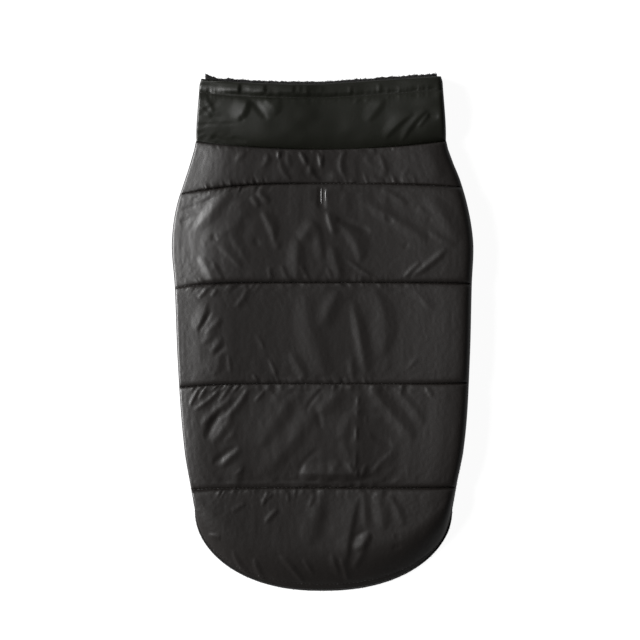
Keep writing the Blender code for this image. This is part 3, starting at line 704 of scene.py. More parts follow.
def graded(count, bunch=0.6):
    """Even steps from 0 to 1 that bunch up at both ends: s - bunch sin(2 pi s) / (2 pi)."""
    s = np.linspace(0, 1, count + 1)
    return s - bunch * np.sin(2 * np.pi * s) / (2 * np.pi)


# ---------------------------------------------------------------- the back
BACK_COLUMNS = np.linspace(-1, 1, 241)
BACK_STEPS = [32, 80, 80, 80, 88]
COARSE, LINING_STRIDE = 4, 8  # steps between the points that settle, and between the lining's
BACK_CROWN = (300.0, 60.0)
FULL_AT = 1.5  # creases and folds are whole where this times the fullness is 1
FOLDS_FADE = (0.01, 0.12)  # how near the sides, as shares across, the folds fade out
CRINKLE_HIGH, CRINKLE_DOWN, CRINKLE_ACROSS = 0.05, 2.2, 1.9
SLIT_BAND = 1
MIDDLE_SPREAD = 142.0  # how far across one whole column is, at its spacing in the middle
SLIT_LEFT, SLIT_RIGHT = -3.9 / MIDDLE_SPREAD, 3.4 / MIDDLE_SPREAD  # the slit's edges, as columns
SLIT_FROM, SLIT_TO = 0.025, 0.27  # its ends, as shares of the band
SLIT_DEPTH = 0.6
LINING_GAP, LINING_CLEAR = 0.1, 0.02  # over the lining, and under it
LINING_NARROWER, LINING_SHORTER = 0.985, (1.6, 1.0)  # a share, and how much at hem and collar
Surface = namedtuple("Surface", "bands shares points fullness from_line to_line")


def back_rows():
    """The rows of the back: which band, and the share down it, for each."""
    band, share = [0], [0.0]
    for number, count in enumerate(BACK_STEPS):
        band += [number] * count
        share += list(graded(count)[1:])
    return np.array(band), np.array(share)


def back_row(band, t):
    """Points of one row of the back, its fullness, and how far it is from the lines round it."""
    across, down = band_place(BACK_COLUMNS, band, t)
    side = column_share(BACK_COLUMNS)
    last = band == LAST_BAND
    upper = line_down(LINES[band], side)
    lower = tail_hem(BACK_COLUMNS)[1] if last else line_down(LINES[band + 1], side)
    stitched = upper + HEM_STITCH * (lower - upper) if last else lower
    crown = side_crown(side, *BACK_CROWN)
    high = curve(ACROSS, BAND_HIGH[band], side) * crown
    low = curve(ACROSS, LINE_HIGH, side) * crown
    near = np.minimum(down - upper, np.abs(stitched - down))
    sunk = SEAM_SUNK * np.exp(-((near / STITCH_REACH) ** 2)) * crown
    steep = YOKE_STEEP if band == 0 and t < 0.5 else STEEP
    fullness = band_puff(np.clip((down - upper) / TAIL_PAD, 0, 0.5) if last else t, steep)
    loft = low + fullness * (high - low)
    fullness = fullness * crown
    edge = EDGE_LOFT + (HEM_LOFT - EDGE_LOFT) * ease(down, BELLY_LENGTH, TAIL_STARTS)
    if last:
        fall = tail_fall(lower - down)
        level = TAIL_LEVEL * (lining_height(upper) - lining_height(down))
        loft = edge + fall * (loft + level - edge)
        fullness *= np.minimum(4 * fall, 1)
    loft = np.maximum(loft - sunk, edge)
    return to_frame(across, down, lining_height(down) + loft), fullness, down - upper, lower - down


def back_surface():
    """The back's points, fullness and distances from its lines, before any crease."""
    bands, shares = back_rows()
    rows = [back_row(band, t) for band, t in zip(bands, shares)]
    return Surface(bands, shares, *map(np.array, zip(*rows)))


def in_pattern(points):
    """The pattern's (across, down) of points in the frame."""
    return points[..., 0] - MIDDLE_X, ZERO_Y - points[..., 1]


def back_folds(back, normal):
    """How far the back's cloth moves when it settles over its padding, as a coarse grid refined."""
    coarse = back.points[::COARSE, ::COARSE]
    held = np.zeros(coarse.shape[:2], bool)
    held[back.shares[::COARSE] == 1.0] = True
    held[0] = held[-1] = held[:, 0] = held[:, -1] = True
    fullness = back.fullness[::COARSE, ::COARSE, None]
    row, column = np.meshgrid(np.arange(held.shape[0]), np.arange(held.shape[1]), indexing="ij")
    ripple = smooth_noise((row / 2.5, column / 1.7), 11)
    lively = 0.5 + 0.5 * smooth_noise((row / 7.0, column / 6.0), 13)
    start = coarse + normal[::COARSE, ::COARSE] * (0.5 * ripple[..., None] * fullness)
    start[held] = coarse[held]
    cloth = Cloth(
        spare_across=0.0005 + 0.004 * lively,
        spare_down=0.0005 + 0.002 * lively,
        hug=0.01,
        bend=0.3,
        rounds=300,
        cap=2.0,
    )
    moved = refine(refine(settle(coarse, start, held, cloth)))
    return moved * ease(1 - np.abs(column_share(BACK_COLUMNS)), *FOLDS_FADE)[:, None]


def back_gathers(back, across):
    """Height of the gathers over the whole back."""
    seams = np.zeros_like(across)
    for band in range(LAST_BAND + 1):
        rows = back.bands == band
        seams[rows] = gathers(across[rows], back.from_line[rows], back.to_line[rows], band)
    crown = side_crown(column_share(BACK_COLUMNS), *BACK_CROWN)
    return seams * np.minimum(crown * FULL_AT, 1) * (np.minimum(back.from_line, back.to_line) > 0)


def slit_hollow(back):
    """Depth of the soft hollow at the slit: a hump down the band times a hump across the slit."""
    along = np.where(back.bands == SLIT_BAND, (back.shares - SLIT_FROM) / (SLIT_TO - SLIT_FROM), 0.0)
    over = (BACK_COLUMNS - SLIT_LEFT) / (SLIT_RIGHT - SLIT_LEFT)
    return SLIT_DEPTH * np.outer(hump(along), hump(over))


def make_back(nylon):
    """The quilted back: padded nylon, with its creases and gathers laid over the settled cloth."""
    back = back_surface()
    across, down = in_pattern(back.points)
    normal = surface_normals(back.points)
    soft = np.minimum(back.fullness * FULL_AT, 1)
    crinkle = CRINKLE_HIGH * smooth_noise((down / CRINKLE_DOWN, across / CRINKLE_ACROSS), 21)
    height = relief(BACK_CREASES, across, down) * soft + back_gathers(back, across) + crinkle * soft
    top = back.points + normal * height[..., None] + back_folds(back, normal) * soft[..., None]
    top[..., 2] -= slit_hollow(back)
    inner = top[::LINING_STRIDE, ::LINING_STRIDE].copy()
    inner[..., 2] = lining_height(in_pattern(inner)[1]) + LINING_THICK + LINING_GAP
    shell = make_piece(
        "back_shell", *shell_mesh(top, inner), nylon, "black_nylon", ["back_panel"]
    )
    return back, top, shell


def make_back_lining(back, fleece):
    """The back's pile lining: a thin sheet of the same plan, a little smaller."""
    plan = back.points[::LINING_STRIDE, ::LINING_STRIDE].copy()
    hem, top = back.points[..., 1].min(), back.points[0, 0, 1]
    plan[..., 0] = MIDDLE_X + (plan[..., 0] - MIDDLE_X) * LINING_NARROWER
    plan[..., 1] = np.clip(plan[..., 1], hem + LINING_SHORTER[0], top - LINING_SHORTER[1])
    upper, under = plan.copy(), plan.copy()
    upper[..., 2] = lining_height(in_pattern(plan)[1]) + LINING_THICK
    under[..., 2] = lining_height(in_pattern(plan)[1]) + LINING_CLEAR
    return make_piece("back_lining", *body_mesh(upper, under), fleece, "black_fleece")


# ---------------------------------------------------------------- the belly
LegHole = namedtuple("LegHole", "down out half_wide half_long")
LEG_HOLE = LegHole(66.0, 61.0, 24.0, 31.0)
BELLY_COLUMNS = np.linspace(-1, 1, 105)
BELLY_STEPS = [14, 32, 32, 22]
BELLY_HEM_LOFT, BELLY_THINS_OVER, BELLY_LINE_LOFT = 3.2, 24.0, 2.0
BELLY_FOLDS, BELLY_THINNEST = 1.1, 1.1
UNDER_CROWN = (24.0, 24.0)  # of the belly, and of the collar's under side
ROLL_THICK, ROLL_SINKS, ROLL_LEAST = 2.6, 0.6, 0.2  # of a leg hole's edge: thickness, fall, height


def belly_row(band, t):
    """(outer, inner) points of one row of the belly: padding between its lines, thin at its hem."""
    side = column_share(BELLY_COLUMNS)
    last = band == len(BELLY_STEPS) - 1
    start = line_down(LINES[band], side)
    end = np.full_like(side, BELLY_LENGTH) if last else line_down(LINES[band + 1], side)
    down = (1 - t) * start + t * end
    across = side * half_width(side, down)
    thin = ease(down, BELLY_LENGTH - BELLY_THINS_OVER, BELLY_LENGTH)
    high = BELLY_LOFT + (BELLY_HEM_LOFT - BELLY_LOFT) * thin
    full = puff(0.5 * t if last else t, 9.0) * side_crown(side, *UNDER_CROWN)
    fold = smooth_noise((down / 11.0, across / 8.0 + down / 30.0), 31)
    fold += 0.6 * smooth_noise((down / 5.0, across / 3.4 - down / 24.0), 32)
    thick = BELLY_LINE_LOFT + (high - BELLY_LINE_LOFT) * full
    thick -= BELLY_FOLDS * full * np.clip(fold, 0, 1)
    low = np.maximum(high - np.maximum(thick, BELLY_THINNEST), 0)
    if (band, t) == (0, 0.0):
        down = down + SEAM_GAP / 2
    return to_frame(across, down, low), to_frame(across, down, high)


def cut_leg_hole(outer, inner, sign):
    """Cuts one leg hole, and says which cells are left.

    Cells whose middle is inside the hole's ellipse go. The points on their edge move to the
    ellipse along the line from its centre, and the edge is rolled thin, by exp(-(12 d)^2) at a
    share d of the hole's size away from it.
    """
    across, down = in_pattern(outer)
    dx = (across - sign * LEG_HOLE.out) / LEG_HOLE.half_wide
    dy = (down - LEG_HOLE.down) / LEG_HOLE.half_long
    far = np.hypot(dx, dy)
    cut = (far[:-1, :-1] + far[1:, :-1] + far[1:, 1:] + far[:-1, 1:]) / 4 < 1.0
    touched = np.zeros_like(far, bool)
    for r, c in ((0, 0), (1, 0), (1, 1), (0, 1)):
        touched[r : r + cut.shape[0], c : c + cut.shape[1]] |= cut
    touched &= far > 0.72
    scale = np.where(touched, 1 / np.maximum(far, 0.1), 1.0)
    for grid in (outer, inner):
        grid[..., 0] += (scale - 1) * dx * LEG_HOLE.half_wide
        grid[..., 1] -= (scale - 1) * dy * LEG_HOLE.half_long
    rolled = np.exp(-((np.maximum(far * scale - 1, 0) * 12) ** 2)) * (far * scale > 0.99)
    middle = (outer[..., 2] + inner[..., 2]) / 2 - ROLL_SINKS
    slim = np.minimum(inner[..., 2] - outer[..., 2], ROLL_THICK) / 2
    outer[..., 2] += rolled * (np.maximum(middle - slim, ROLL_LEAST) - outer[..., 2])
    inner[..., 2] += rolled * (middle + slim - inner[..., 2])
    return ~cut


def make_belly(nylon):
    """The padded belly, quilted like the back, flat on the floor, with two leg holes."""
    rows = [belly_row(0, 0.0)]
    for band, count in enumerate(BELLY_STEPS):
        rows += [belly_row(band, t) for t in graded(count, 0.4)[1:]]
    outer, inner = map(np.array, zip(*rows))
    keep = cut_leg_hole(outer, inner, -1) & cut_leg_hole(outer, inner, 1)
    mesh = body_mesh(outer, inner, keep)
    return make_piece("belly_shell", *mesh, nylon, "black_nylon", ["belly_panel"])


# ---------------------------------------------------------------- the collar
# Rings from the collar's seam to its rim: how full the top is, and how much of the room under
# the slit the under side fills.
Ring = namedtuple("Ring", "share loft under")
COLLAR_RINGS = [
    Ring(0.0, 1.2, 0.3),
    Ring(0.05, 2.6, 0.7),
    Ring(0.12, 4.3, 1.0),
    Ring(0.22, 6.1, 1.0),
    Ring(0.34, 7.5, 1.0),
    Ring(0.48, 8.5, 1.0),
    Ring(0.6, 8.9, 1.0),
    Ring(0.68, 8.7, 1.0),
    Ring(0.74, 8.0, 1.0),
    Ring(0.765, 7.4, 0.9),
    Ring(0.78, 7.0, 0.8),
    Ring(0.8, 7.15, 0.9),
    Ring(0.84, 7.8, 1.0),
    Ring(0.87, 8.0, 1.0),
    Ring(0.93, 7.7, 0.95),
    Ring(0.98, 7.0, 0.85),
    Ring(1.0, 6.2, 0.7),
]
# How much higher the collar's body and its channel are, across the coat.
COLLAR_ACROSS = [-1, -0.8, -0.6, -0.4, -0.2, 0, 0.2, 0.5, 0.8, 1]
COLLAR_RAISED = [-2.6, -1.0, 0.5, 1.7, 1.4, 0.3, 0.4, 1.7, 3.7, 4.7]
CHANNEL_RAISED = [-5.0, -1.2, 1.4, 3.0, 3.0, 1.6, 1.1, 1.9, 3.7, 4.2]
COLLAR_TOP_CROWN = (300.0, 80.0)
COLLAR_HEIGHT, RIM_RISE_LEFT, RIM_RISE_RIGHT, RIM_DROP = 52.4, 4.2, 6.2, 1.2
COLLAR_TAPER, COLLAR_CORNER = 2.8, 1.0
COLLAR_SIDE, MOUTH_SIDE_SHARE = 7.0, 0.4
COLLAR_SLIT, MOUTH_SLIT = 0.5, 2.9
MOUTH_FROM, MOUTH_TO = 0.7, 0.85
RIM_STITCH, BODY_STEPS, CHANNEL_STEPS = 0.78, 56, 22
HELD_NEAR = 2.0  # how near its channel's stitching the collar is held down
HELD_PUFF, CHANNEL_PUFF = 8.0, 40.0  # how steep its fullness is at the seam, and at the rim
CHANNEL_GATHERS, GATHERS_REACH = 0.28, 4.0
LEFT_WRINKLES, WRINKLES_FROM, WRINKLES_TO = 0.22, 66, 92
TOP_WAVES, UNDER_WAVES = 0.3, 0.7
RIM_LINING_FROM, RIM_LINING_SHOWS, RIM_LINING_INSET, RIM_CORNER_SHOWS = 0.88, 2.4, 0.6, 2.0
# The rim lining's rings: the share of the collar, and how far past its rim.
RIM_LINING_RINGS = [(RIM_LINING_FROM, 0.0), (0.93, 0.0), (0.97, 0.0)]
RIM_LINING_RINGS += [(1.0, 0.0), (1.0, 0.4), (1.0, 0.75), (1.0, 1.0)]
RIM_PILE, RIM_PILE_THICK = 1500, 0.16


def collar_place(side, share):
    """(across, down) of a point of the collar, at a share of the way from its seam to its rim."""
    seam = line_down(COLLAR_SEAM, side) - SEAM_GAP / 2
    rise = np.where(side < 0, RIM_RISE_LEFT * np.abs(side) ** 3, RIM_RISE_RIGHT * np.abs(side))
    down = (1 - share) * seam + share * (-COLLAR_HEIGHT - rise)
    narrower = COLLAR_TAPER * ease(share, 0.1, 1.1) + COLLAR_CORNER * ease(share, 0.9, 1.0)
    return side * (half_width(side, np.maximum(down, SECTIONS[0].down)) - narrower), down


def collar_middle(share):
    """Height of the slit between the collar's two layers."""
    return LINING_HEIGHT - SEAM_GAP / 2 - RIM_DROP * ease(share, 0.6, 1.0)


def ring_sides(over, under):
    """Shares across the coat, over the top from left to right and back underneath."""
    top = column_share(np.linspace(-1, 1, over))
    return np.concatenate([top, column_share(np.linspace(1, -1, under))[1:-1]])


def ring_layer(side, over, share, inset, half):
    """A ring of the collar's inside: its two layers are half above and below the middle."""
    across, down = collar_place(side, share)
    gap = COLLAR_SIDE * (1 - (1 - MOUTH_SIDE_SHARE) * ease(share, MOUTH_FROM, MOUTH_TO))
    scale = 1 - (gap + inset) / np.max(np.abs(across))
    up = np.where(np.arange(len(side)) < over, half, -half)
    up = np.where(np.abs(side) > 0.9999, 0.0, up)
    return to_frame(across * scale, down, collar_middle(share) + up)


def collar_folds(side, share, across, down):
    """Height of a ring's folds over the plain collar, and how soft the ring is.

    It is the sum of the creases, of gathers beside the channel's stitching, of small wrinkles at
    the left end, of broad waves, and of how much higher the body and the channel are, which
    pass into each other beside the stitching.
    """
    away = (share - RIM_STITCH) * COLLAR_HEIGHT
    soft = puff(share, HELD_PUFF) * (1 - np.exp(-((away / HELD_NEAR) ** 2)))
    fold = relief(COLLAR_CREASES, across, down) * soft
    small = smooth_noise(across / 3.1, 61) + 0.6 * smooth_noise(across / 1.4, 62)
    small *= np.exp(-((away / GATHERS_REACH) ** 2)) * ease(np.abs(away), 0.4, 1.6)
    wrinkles = smooth_noise((down / 3.2, across / 5.0 + down / 9.0), 63)
    wrinkles *= ease(-across, WRINKLES_FROM, WRINKLES_TO) * puff(share, HELD_PUFF)
    waves = smooth_noise((down / 9.0, across / 12.0), 64) * soft
    fold += CHANNEL_GATHERS * small + LEFT_WRINKLES * wrinkles + TOP_WAVES * waves
    past = ease(share, RIM_STITCH - 0.01, RIM_STITCH + 0.08)
    raised = (1 - past) * curve(COLLAR_ACROSS, COLLAR_RAISED, side)
    raised += past * curve(COLLAR_ACROSS, CHANNEL_RAISED, side)
    return fold + raised * puff(share, HELD_PUFF if share < 0.5 else CHANNEL_PUFF), soft


def make_collar(nylon):
    """The collar, a padded tube pressed flat, with a sewn channel below its rim."""
    over = 201
    side = ring_sides(over, 81)
    body, channel = graded(BODY_STEPS, 0.3), graded(CHANNEL_STEPS)[1:]
    shares = np.concatenate([body * RIM_STITCH, RIM_STITCH + (1 - RIM_STITCH) * channel])
    at, loft, under = zip(*COLLAR_RINGS)
    lofts, unders = curve(at, loft, shares), np.minimum(curve(at, under, shares), 1)
    below = side_crown(side, *UNDER_CROWN)
    outer, inner = [], []
    for share, high, low in zip(shares, lofts, unders):
        across, down = collar_place(side, share)
        middle = collar_middle(share)
        fold, soft = collar_folds(side, share, across, down)
        rise = side_crown(side, *COLLAR_TOP_CROWN) * (high + fold)
        wave = 0.5 + 0.5 * smooth_noise((down / 8.0, across / 6.0), 65)
        fall = below * low * middle - UNDER_WAVES * wave * soft * below
        height = np.where(np.arange(len(side)) < over, middle + rise, middle - fall)
        outer.append(to_frame(across, down, height))
        slit = COLLAR_SLIT + (MOUTH_SLIT - COLLAR_SLIT) * ease(share, MOUTH_FROM, MOUTH_TO)
        inner.append(ring_layer(side, over, share, 0.0, slit / 2))
    outer = np.array(outer)
    mesh = body_mesh(outer, np.array(inner), ring=True)
    collar = make_piece("collar_shell", *mesh, nylon, "black_nylon", ["collar"])
    return outer[:, :over], collar


def make_rim_lining(fleece):
    """The pile lining where it shows: a flat sleeve in the collar's mouth, with pile on its rim."""
    over = 161
    side = ring_sides(over, 81)
    half = MOUTH_SLIT / 2 - SEAM_GAP
    shown = RIM_LINING_SHOWS + 0.5 * smooth_noise(side * 46, 71) + 0.35 * smooth_noise(side * 110, 72)
    shown += RIM_CORNER_SHOWS * ease(-side, 0.94, 1.0)
    outer, inner = [], []
    for share, past in RIM_LINING_RINGS:
        fat = half + 0.5 * np.sin(past * np.pi * 0.9)
        outer.append(ring_layer(side, over, share, RIM_LINING_INSET, fat))
        inner.append(ring_layer(side, over, share, RIM_LINING_INSET + 1.0, half - 1.0))
        outer[-1][..., 1] += past * shown
        inner[-1][..., 1] += past * shown
    outer = np.array(outer)
    mesh = body_mesh(outer, np.array(inner), ring=True)
    lining = make_piece("rim_lining", *mesh, fleece, "black_fleece", ["collar_lining"])
    rng = np.random.default_rng(73)
    column = rng.integers(0, outer.shape[1], RIM_PILE)
    row = rng.integers(3, len(outer), RIM_PILE)
    roots = outer[row, column] + rng.uniform(-0.4, 0.4, (RIM_PILE, 3)) * [1, 0.5, 0.5]
    tips = roots + rng.uniform([-0.9, 0.1, -0.5], [0.9, 1.3, 1.0], (RIM_PILE, 3))
    return lining, make_piece("rim_pile", *tufts(roots, tips, RIM_PILE_THICK), fleece, "black_fleece")


# ---------------------------------------------------------------- trims
# The slit's lips: which way they lie, how far their inner side is from the middle line, how wide.
Lip = namedtuple("Lip", "name sign column near wide node")
LIPS = [
    Lip("slit_lip_left", -1.0, SLIT_LEFT, -0.6, 1.9, "slit_welt_left"),
    Lip("slit_lip_right", 1.0, SLIT_RIGHT, -2.1, 2.4, "slit_welt_right"),
]
LIP_POINTS, LIP_HALF_HIGH, LIP_SINKS = 15, 1.3, 2.5


def make_slit(nylon, back, top):
    """The two lips that bind the slit: soft rolls at the back's height, narrowing at their ends.

    A lip's section is an ellipse, and it shrinks along the lip as the root of 1 - |run|^2.5.
    """
    inside = (back.bands == SLIT_BAND) & (back.shares > SLIT_FROM) & (back.shares < SLIT_TO)
    rows = np.flatnonzero(inside)
    rows = rows[np.linspace(0, len(rows) - 1, LIP_POINTS).astype(int)]
    turn = np.linspace(0, 2 * np.pi, 10, endpoint=False)
    ends = np.sqrt(np.clip(1 - np.abs(np.linspace(-1, 1, LIP_POINTS)) ** 2.5, 0.05, 1))[:, None]
    pieces = []
    for lip in LIPS:
        edge = top[rows, np.argmin(np.abs(BACK_COLUMNS - lip.column))]
        middle = np.full(LIP_POINTS, MIDDLE_X - lip.near)
        path = np.column_stack([middle, edge[:, 1], edge[:, 2] - LIP_SINKS])
        out = np.tile([lip.sign, 0.0, 0.0], (LIP_POINTS, 1))
        level = lip.wide / 2 + lip.wide / 2 * np.cos(turn) * ends
        section = np.stack([level, LIP_HALF_HIGH + LIP_HALF_HIGH * np.sin(turn) * ends], axis=-1)
        mesh = swept_bar(path, out, section)
        pieces.append(make_piece(lip.name, *mesh, nylon, "black_nylon", [lip.node]))
    return pieces


HEM_POINTS, BINDING_POINTS = 500, 1100
RIB_PITCH, RIB_HEIGHT, BINDING_HALF_HIGH = 1.4, 0.22, 1.2
COMES_OUT = (20, 70)  # lengths from its ends over which the binding comes out from under the back
HEM_PILE, HEM_PILE_THICK = 1800, 0.14
# Where the binding passes on its way down the sides: bands, and shares down them.
BINDING_ROUTE = [(LAST_BAND - 1, t) for t in np.linspace(0.64, 0.99, 26)]
BINDING_ROUTE += [(LAST_BAND, t) for t in np.linspace(0, 0.98, 30)]


def hem_path():
    """Even points of the binding's path round the back's free edge, level ways outwards, lengths."""
    ends = np.array([-1.0, 1.0])
    sides = np.array([np.column_stack(band_place(ends, band, t)) for band, t in BINDING_ROUTE])
    hem = np.column_stack(band_place(np.linspace(-1, 1, HEM_POINTS), LAST_BAND, 1.0))
    path = np.concatenate([sides[:, 0], hem, sides[::-1, 1]])
    gone = np.concatenate([[0], np.cumsum(np.hypot(*np.diff(path, axis=0).T))])
    even = np.linspace(0, gone[-1], BINDING_POINTS)
    path = np.column_stack([np.interp(even, gone, path[:, 0]), np.interp(even, gone, path[:, 1])])
    travel = np.gradient(path, axis=0)
    out = np.column_stack([-travel[:, 1], travel[:, 0]])
    out /= np.linalg.norm(out, axis=1)[:, None]
    return path, out, even


def make_tail_binding(fleece):
    """The rolled edge round the tail: an ellipse along its path, ribbed by a sine, and short pile."""
    path, out, gone = hem_path()
    rib = RIB_HEIGHT * np.sin(gone * 2 * np.pi / RIB_PITCH) + 0.15 * smooth_noise(gone / 2.3, 91)
    points = to_frame(path[:, 0], path[:, 1], lining_height(path[:, 1]))
    ways = np.column_stack([out[:, 0], -out[:, 1], np.zeros(len(out))])
    turn = np.linspace(0, 2 * np.pi, 8, endpoint=False) + 0.3
    wide = (BINDING_WIDE + rib)[:, None]
    shows = HEM_INSET * ease(np.minimum(gone, gone[-1] - gone), *COMES_OUT)[:, None]
    level = shows - wide / 2 * (1 - np.cos(turn))
    upright = BINDING_HALF_HIGH + BINDING_HALF_HIGH * np.sin(turn) * np.ones((len(path), 1))
    mesh = swept_bar(points, ways, np.stack([level, upright], axis=-1))
    binding = make_piece("hem_binding", *mesh, fleece, "black_fleece", ["tail_binding"])
    rng = np.random.default_rng(92)
    at = rng.integers(2, len(path) - 2, HEM_PILE)
    roots = points[at] + ways[at] * (shows[at] - rng.uniform(0.1, 0.9, (HEM_PILE, 1)))
    roots[:, 2] += rng.uniform(0.6, 1.8, HEM_PILE)
    tips = roots + ways[at] * rng.uniform(0.1, 0.8, (HEM_PILE, 1))
    tips += rng.uniform([-0.4, -0.4, -0.2], [0.4, 0.4, 0.5], (HEM_PILE, 3))
    pile = make_piece("hem_pile", *tufts(roots, tips, HEM_PILE_THICK), fleece, "black_fleece")
    return [binding, pile]


STITCH_PITCH, STITCH_LONG, STITCH_THICK, STITCH_CLEAR = 3.2, 2.5, 0.2, 4.0
STITCH_STEP = 0.8  # how far ahead of and behind a stitch its direction is taken
BACK_STITCH_LIFT, COLLAR_STITCH_LIFT = 0.04, -0.12


def along_row(line, places):
    """Points along a row of a grid, at lengths gone from its start, and the row's length."""
    gone = np.concatenate([[0], np.cumsum(np.linalg.norm(np.diff(line, axis=0), axis=1))])
    return np.stack([np.interp(places, gone, line[:, k]) for k in range(3)], axis=-1), gone[-1]


def make_stitches(nylon, back, top, collar_top):
    """Thread along every sewn line: one short rod at each step of the stitches' pitch."""
    hem_row = np.argmin(np.where(back.bands == LAST_BAND, np.abs(back.shares - HEM_STITCH), 9))
    sewn = [(top[row], BACK_STITCH_LIFT) for row in np.flatnonzero(back.shares == 1.0)[:-1]]
    sewn += [(top[hem_row], BACK_STITCH_LIFT), (collar_top[BODY_STEPS], COLLAR_STITCH_LIFT)]
    middles, ways = [], []
    for line, lift in sewn:
        _, length = along_row(line, 0.0)
        places = np.arange(STITCH_CLEAR, length - STITCH_CLEAR, STITCH_PITCH)
        middle, _ = along_row(line, places)
        ahead, _ = along_row(line, places + STITCH_STEP)
        behind, _ = along_row(line, places - STITCH_STEP)
        way = ahead - behind
        middles.append(middle + [0, 0, lift])
        ways.append(way / np.linalg.norm(way, axis=1, keepdims=True))
    mesh = rods(np.concatenate(middles), np.concatenate(ways), STITCH_LONG, STITCH_THICK)
    return make_piece("stitches", *mesh, nylon, "black_nylon")


# ---------------------------------------------------------------- finishes
# How scaled, detailed and strong a finish's fine bump is, and how deep in metres.
Grain = namedtuple("Grain", "scale detail roughness distortion strength depth")
CRINKLE = Grain(150.0, 4.0, 0.6, 0.8, 0.16, 0.0006)
PILE = Grain(900.0, 3.0, 0.5, 0.0, 0.8, 0.0008)


def new_finish(name, colour, roughness, gloss, grain=None):
    """A Principled finish, with a fine bump of noise on Object coordinates where it has a grain."""
    finish = bpy.data.materials.new(name)
    finish.use_nodes = True
    nodes, link = finish.node_tree.nodes, finish.node_tree.links.new
    shader = nodes["Principled BSDF"]
    shader.inputs["Base Color"].default_value = (*colour, 1.0)
    shader.inputs["Roughness"].default_value = roughness
    shader.inputs["Metallic"].default_value = 0.0
    shader.inputs["Specular IOR Level"].default_value = gloss
    if grain:
        place = nodes.new("ShaderNodeTexCoord")
        noise = nodes.new("ShaderNodeTexNoise")
        noise.inputs["Scale"].default_value = grain.scale
        noise.inputs["Detail"].default_value = grain.detail
        noise.inputs["Roughness"].default_value = grain.roughness
        noise.inputs["Distortion"].default_value = grain.distortion
        link(place.outputs["Object"], noise.inputs["Vector"])
        bump = nodes.new("ShaderNodeBump")
        bump.inputs["Strength"].default_value = grain.strength
        bump.inputs["Distance"].default_value = grain.depth
        link(noise.outputs["Fac"], bump.inputs["Height"])
        link(bump.outputs["Normal"], shader.inputs["Normal"])
    return finish, shader


def nylon_finish(name, colour, gloss):
    """Black puffer nylon: semi-gloss and finely crinkled."""
    finish, _ = new_finish(name, colour, 0.45, gloss, CRINKLE)
    return finish


def fleece_finish():
    """Black pile: matte, with a soft sheen."""
    finish, shader = new_finish("fleece", (0.008, 0.0075, 0.0075), 0.95, 0.2, PILE)
    shader.inputs["Sheen Weight"].default_value = 0.1
    return finish


# ---------------------------------------------------------------- the studio
FRAME_WIDE = 512.0
CAMERA_HIGH = 1600.0
FRAME_CENTRE = (-1.6, 136.0)  # across and down of the picture's middle
SENSOR = 36.0
FLOOR_HALF, FLOOR_SINKS, FLOOR_GLOW = 6.0, 0.0002, 0.95
# How strong the surround is at the horizon, and from which height up how strong it stays.
HORIZON, FADES_BY, OVERHEAD = 0.3, 0.5, 0.04


def make_camera():
    """A camera straight over the coat, with the collar at the top of its picture."""
    camera = bpy.data.cameras.new("camera")
    camera.sensor_width = SENSOR
    camera.lens = SENSOR * (CAMERA_HIGH - LINING_HEIGHT) / FRAME_WIDE
    camera.clip_end = 10.0
    holder = bpy.data.objects.new("camera", camera)
    holder.location = to_frame(*FRAME_CENTRE, CAMERA_HIGH) * MM
    bpy.context.collection.objects.link(holder)
    bpy.context.scene.camera = holder


def make_light(name, place, size, power):
    """A soft square light at a place in metres, turned to face the coat."""
    light = bpy.data.lights.new(name, "AREA")
    light.shape = "RECTANGLE"
    light.size = light.size_y = size
    light.energy = power
    holder = bpy.data.objects.new(name, light)
    holder.location = place
    x, y, z = place
    holder.rotation_euler = (0.0, np.arctan2(np.hypot(x, y), z), np.arctan2(y, x))
    bpy.context.collection.objects.link(holder)


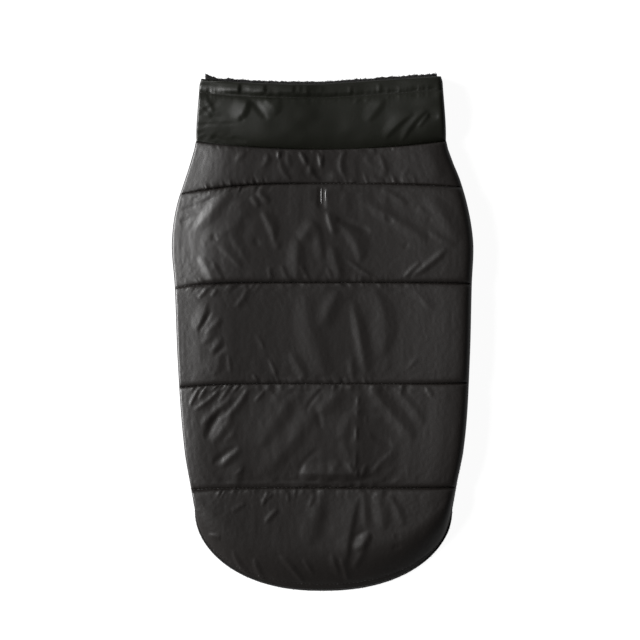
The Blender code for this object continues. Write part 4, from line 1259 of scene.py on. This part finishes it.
def make_floor():
    """A pale floor that glows evenly, and is left out of mirror images."""
    mesh = bpy.data.meshes.new("floor")
    corners = [(x * FLOOR_HALF, y * FLOOR_HALF, 0) for x, y in ((-1, -1), (1, -1), (1, 1), (-1, 1))]
    mesh.from_pydata(corners, [], [(0, 1, 2, 3)])
    paper, shader = new_finish("floor_paper", (0.12, 0.12, 0.12), 0.9, 0.5)
    shader.inputs["Emission Color"].default_value = (1, 1, 1, 1)
    shader.inputs["Emission Strength"].default_value = FLOOR_GLOW
    mesh.materials.append(paper)
    floor = bpy.data.objects.new("floor", mesh)
    floor.location.z = -FLOOR_SINKS
    floor.visible_glossy = False
    bpy.context.collection.objects.link(floor)


def make_surround():
    """A white surround, dim overhead and brighter towards the horizon."""
    world = bpy.data.worlds.new("world")
    world.use_nodes = True
    nodes, link = world.node_tree.nodes, world.node_tree.links.new
    nodes["Background"].inputs["Color"].default_value = (1, 1, 1, 1)
    way = nodes.new("ShaderNodeTexCoord")
    parts = nodes.new("ShaderNodeSeparateXYZ")
    link(way.outputs["Generated"], parts.inputs["Vector"])
    fade = nodes.new("ShaderNodeMapRange")
    fade.inputs["From Min"].default_value = 0.0
    fade.inputs["From Max"].default_value = FADES_BY
    fade.inputs["To Min"].default_value = HORIZON
    fade.inputs["To Max"].default_value = OVERHEAD
    link(parts.outputs["Z"], fade.inputs["Value"])
    link(fade.outputs["Result"], nodes["Background"].inputs["Strength"])
    bpy.context.scene.world = world


def make_studio():
    """The floor, the surround, a large soft light from the left and a weak one above the collar."""
    make_floor()
    make_surround()
    bpy.context.scene.view_settings.view_transform = "Standard"
    make_light("window", (-3.05, 0.5, 1.65), 1.8, 440.0)
    make_light("top", (0.0, 3.0, 1.65), 1.8, 3.0)
    make_camera()


def main():
    """Makes the finishes, the studio and the coat's pieces."""
    nylon = nylon_finish("nylon", (0.0034, 0.00225, 0.0017), 0.5)
    # The collar's copy of the nylon is tinted olive and less glossy. The lower gloss is painted shade:
    # it darkens the collar where its slope turns away from the lamp.
    shaded_collar_nylon = nylon_finish("shaded_collar_nylon", (0.0026, 0.0029, 0.0012), 0.36)
    fleece = fleece_finish()
    make_studio()
    belly = make_belly(nylon)
    back, top, shell = make_back(nylon)
    lining = make_back_lining(back, fleece)
    collar_top, collar = make_collar(shaded_collar_nylon)
    sleeve, pile = make_rim_lining(fleece)
    trims = make_slit(nylon, back, top) + make_tail_binding(fleece)
    trims.append(make_stitches(nylon, back, top, collar_top))


main()
